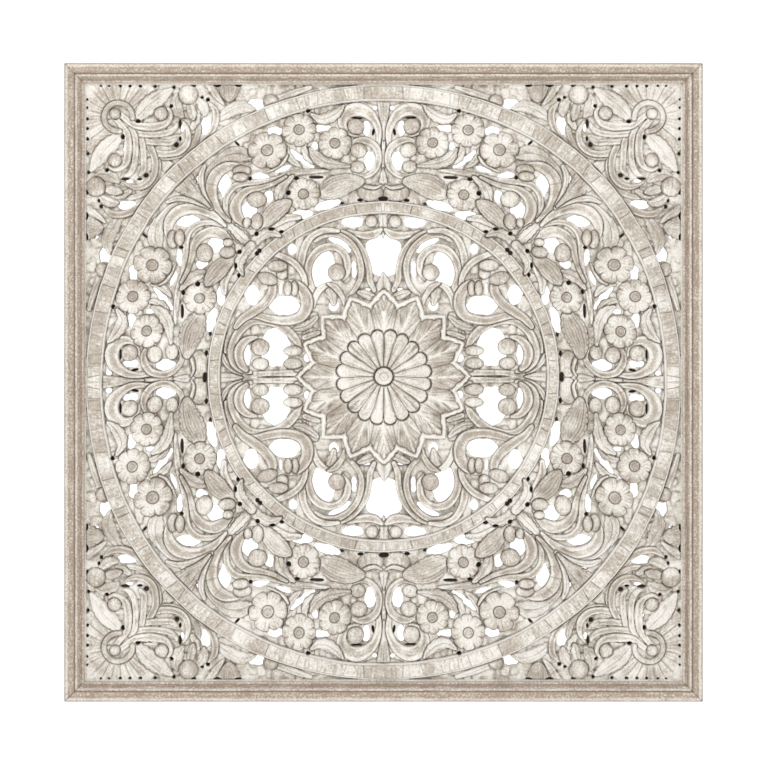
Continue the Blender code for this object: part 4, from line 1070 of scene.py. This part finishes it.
def rail(name, turns, material):
    """One mitred rail, made as the top rail and turned into its place."""
    section = rail_section()
    half = OVERALL / 2
    slack = FIT_GAP / math.sqrt(2)
    across = section[:, 0] / 1000
    shares = np.sin(np.linspace(-math.pi / 2, math.pi / 2, RAIL_STATIONS))
    x = shares[:, None] * (half - across - slack)[None, :]
    wave = Noise(40 + turns, 30.0)
    nicks = Noise(50 + turns, 5.0)
    worn = (section[:, 1] > FACE_LEVEL)[None, :] * (1 - np.abs(shares[:, None]) ** 40)
    ripple = wave(x * 1000, 7.0 * across[None, :] * 1000) * 0.12
    ripple += nicks(x * 1000, across[None, :] * 1500) * 0.10
    depth = section[None, :, 1] - worn * (0.22 + ripple)
    z = np.broadcast_to(half - across, x.shape)
    points = np.stack([x, -depth / 1000, z], axis=2).reshape(-1, 3)
    ring = len(section)
    rows = np.arange(RAIL_STATIONS - 1)[:, None] * ring
    base = rows + np.arange(ring)
    after = rows + np.roll(np.arange(ring), -1)
    faces = np.stack([base, after, after + ring, base + ring], axis=2).reshape(-1, 4)
    mesh = quick_mesh(name, points, faces)
    build = bmesh.new()
    build.from_mesh(mesh)
    build.verts.ensure_lookup_table()
    last = (RAIL_STATIONS - 1) * ring
    build.faces.new([build.verts[index] for index in range(ring)])
    build.faces.new([build.verts[last + index] for index in reversed(range(ring))])
    bmesh.ops.recalc_face_normals(build, faces=build.faces)
    build.to_mesh(mesh)
    build.free()
    place, level = np.tile(section, (RAIL_STATIONS, 1)).T
    front = level > FACE_LEVEL
    bead, lines = (sum(strength * bump(place - at, width) for at, width, strength in marks)
                   for marks in (BEADS, GROOVES))
    from_mitre = 1000 * ((half - across)[None, :] - np.abs(x)).ravel()
    lines += 0.5 * bump(from_mitre, 0.9)
    streaks = Noise(60 + turns, 1.0)(x * 1000 / 16, across[None, :] * 1000 / 1.2).ravel()
    wash = np.where(front, 0.78 - 0.6 * bead + 0.24 * streaks, 0.5)
    colour_corners(mesh, wash, np.where(front, lines, 0.1), np.where(front, 0.8 * bead, 0.0))
    turn = Matrix.Translation((0, 0, PANEL_MIDDLE)) @ Matrix.Rotation(math.pi / 2 * turns, 4, "Y")
    mesh.transform(turn)
    shade(mesh, material, 50)
    thing = in_scene("moulding_" + name, mesh)
    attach(thing, "root")
    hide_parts("frame_" + name)


def feed(tree, node, values):
    """Give a node's inputs their values, or the sockets that they are linked to; its outputs come back."""
    for socket, value in values.items():
        if isinstance(value, bpy.types.NodeSocket):
            tree.links.new(value, node.inputs[socket])
        else:
            node.inputs[socket].default_value = value
    return node.outputs


def surface(name):
    """A new material, with its node tree and its surface shader."""
    material = bpy.data.materials.new(name)
    material.use_nodes = True
    return material, material.node_tree, material.node_tree.nodes["Principled BSDF"]


def limewash(name, colours, speckle, mottling):
    """Limewashed wood: cream, greige and brown by the mesh's colouring, with specks, grain and dust, and its
    dark share of dirt and painted shade.
    """
    material, tree, shader = surface(name)
    cream, greige, brown, dirt_and_shade = ((*colour, 1.0) for colour in colours)

    def made(kind, values, **settings):
        node = tree.nodes.new("ShaderNode" + kind)
        for setting, value in settings.items():
            setattr(node, setting, value)
        return feed(tree, node, values)

    place = made("TexCoord", {})["Object"]
    look = made("Attribute", {}, attribute_name="look")["Color"]
    shares = made("SeparateColor", {"Color": look})
    wash, dark, pale = (shares[channel] for channel in ("Red", "Green", "Blue"))

    def noise(scale, detail, roughness=0.55, stretch=(1, 1, 1)):
        spread = made("Mapping", {"Vector": place, "Scale": stretch})["Vector"]
        return made("TexNoise", {"Vector": spread, "Scale": scale, "Detail": detail,
                                 "Roughness": roughness})["Fac"]

    def ranged(value, low, high, to_low, to_high):
        return made("MapRange", {"Value": value, "From Min": low, "From Max": high,
                                 "To Min": to_low, "To Max": to_high})["Result"]

    def maths(operation, one, two):
        return made("Math", {0: one, 1: two}, operation=operation)["Value"]

    def mixed(share, one, two):
        factor, first, second, result = 0, 6, 7, 2
        return made("Mix", {factor: share, first: one, second: two}, data_type="RGBA")[result]

    blotch = noise(38, 3)
    fine = noise(360, 4, 0.7)
    streak = noise(260, 3, 0.6, (1, 1, 0.16))
    mottle = maths("MULTIPLY", maths("SUBTRACT", fine, 0.5), mottling)
    washed = maths("ADD", maths("ADD", wash, maths("MULTIPLY", blotch, 0.5)), mottle)
    colour = mixed(ranged(washed, 0.25, 0.85, 0, 1), cream, greige)
    settled = maths("MULTIPLY", maths("SUBTRACT", blotch, 0.5), 0.9)
    settled = maths("ADD", maths("ADD", wash, mottle), settled)
    colour = mixed(ranged(settled, 0.42, 1.05, 0, 0.8), colour, brown)
    bright = maths("MULTIPLY", pale, ranged(streak, 0.35, 0.7, 0.5, 1.0))
    bright = maths("ADD", bright, maths("MULTIPLY", mottle, -0.5))
    colour = mixed(ranged(bright, 0.05, 0.8, 0, 0.85), colour, cream)
    specks = noise(speckle, 2, 0.6)
    dots = maths("MULTIPLY", ranged(specks, 0.62, 0.74, 0, 0.6), ranged(blotch, 0.35, 0.6, 0.25, 1))
    colour = mixed(dots, colour, brown)
    # The dark share: dirt, and on the carving also painted shade along the lines, in the pits and in the
    # hollows.
    grime_and_shade = maths("MULTIPLY", dark, ranged(fine, 0.3, 0.75, 1.15, 0.75))
    colour = mixed(ranged(grime_and_shade, 0.12, 0.95, 0, 1), colour, dirt_and_shade)
    stands_up = maths("ADD", fine, maths("MULTIPLY", streak, 0.8))
    bumps = made("Bump", {"Strength": 0.35, "Distance": 0.0006, "Height": stands_up})
    feed(tree, shader, {"Base Color": colour, "Roughness": 0.86, "Specular IOR Level": 0.25,
                        "Normal": bumps["Normal"]})
    return material


# The studio, in metres, and the picture, in pixels.
FLOOR_LEVEL = -1.45
WHITE = (1.0, 1.0, 1.0, 1.0)
CAMERA_DISTANCE = 2.60
CAMERA_ABOVE = 0.113
SENSOR = 36.0
LIGHTS = (("key", (-1.1, -2.2, 1.1), 1.6, 37.0), ("fill", (1.8, -2.2, -0.2), 2.2, 12.0),
          ("low", (0.0, -2.4, -1.3), 1.8, 5.0))
PHOTO_PIXELS = 768
PANEL_PIXELS = 639


def room():
    """A pale floor that curves up into pale walls at the back and sides."""
    paper, tree, shader = surface("studio_paper")
    feed(tree, shader, {"Base Color": (0.92, 0.92, 0.92, 1.0), "Roughness": 0.9,
                        "Emission Color": WHITE, "Emission Strength": 0.40})
    points = []
    for out, up in ((0.0, 0.0), (0.8, 0.15), (1.5, 0.55), (1.9, 1.2), (2.1, 2.2), (2.1, 10.0)):
        wide = 12.0 + out
        deep = 3.4 + out
        outline = ((-wide, -40.0), (-wide, deep), (wide, deep), (wide, -40.0))
        points += [(x, y, FLOOR_LEVEL + up) for x, y in outline]
    faces = [(0, 3, 2, 1)]
    for low in range(0, len(points) - 4, 4):
        faces += [(low + i, low + i + 1, low + i + 5, low + i + 4) for i in range(3)]
    mesh = bpy.data.meshes.new("studio_floor")
    mesh.from_pydata(points, [], faces)
    mesh.polygons.foreach_set("use_smooth", [True] * len(faces))
    mesh.materials.append(paper)
    in_scene("studio_floor", mesh)


def lights():
    """Three soft square lights aimed at the panel's middle, and a dim white sky."""
    for name, place, size, power in LIGHTS:
        light = bpy.data.lights.new(name, "AREA")
        light.size = size
        light.energy = power
        thing = in_scene(name, light)
        thing.location = place
        aim = Vector((0, 0, PANEL_MIDDLE)) - thing.location
        thing.rotation_euler = aim.to_track_quat("-Z", "Y").to_euler()
    world = bpy.data.worlds.new("studio")
    world.use_nodes = True
    feed(world.node_tree, world.node_tree.nodes["Background"], {"Color": WHITE, "Strength": 0.55})
    bpy.context.scene.world = world
    bpy.context.scene.view_settings.view_transform = "Standard"


def photographed():
    """The camera, straight in front of the panel, a little above its middle and shifted down to it."""
    seen_width = PHOTO_PIXELS * OVERALL / PANEL_PIXELS
    camera = bpy.data.cameras.new("camera")
    camera.sensor_width = SENSOR
    camera.lens = SENSOR * (CAMERA_DISTANCE - FRAME_DEPTH) / seen_width
    camera.shift_y = -CAMERA_ABOVE / seen_width - 1.5 / PHOTO_PIXELS
    camera.shift_x = 0.5 / PHOTO_PIXELS
    thing = in_scene("camera", camera)
    thing.location = (0.0, -CAMERA_DISTANCE, PANEL_MIDDLE + CAMERA_ABOVE)
    thing.rotation_euler = (math.pi / 2, 0, 0)
    bpy.context.scene.camera = thing


# Colours of the limewashed wood, on the carving and on the moulding.
CREAM = (0.72, 0.695, 0.645)
GREIGE = (0.50, 0.455, 0.395)
BROWN = (0.30, 0.25, 0.20)
# The darkest colour, for dirt and, on the carving, painted shade.
DIRT_AND_SHADE = (0.085, 0.065, 0.05)
RAIL_CREAM = (0.70, 0.65, 0.585)
RAIL_GREIGE = (0.43, 0.362, 0.297)
RAIL_BROWN = (0.27, 0.205, 0.155)

board(limewash("limewashed_carving", (CREAM, GREIGE, BROWN, DIRT_AND_SHADE), 330, 1.8))
moulding = limewash("limewashed_moulding", (RAIL_CREAM, RAIL_GREIGE, RAIL_BROWN, DIRT_AND_SHADE), 240, 3.3)
for turns, side in enumerate(("top", "right", "bottom", "left")):
    rail(side, turns, moulding)
room()
lights()
photographed()
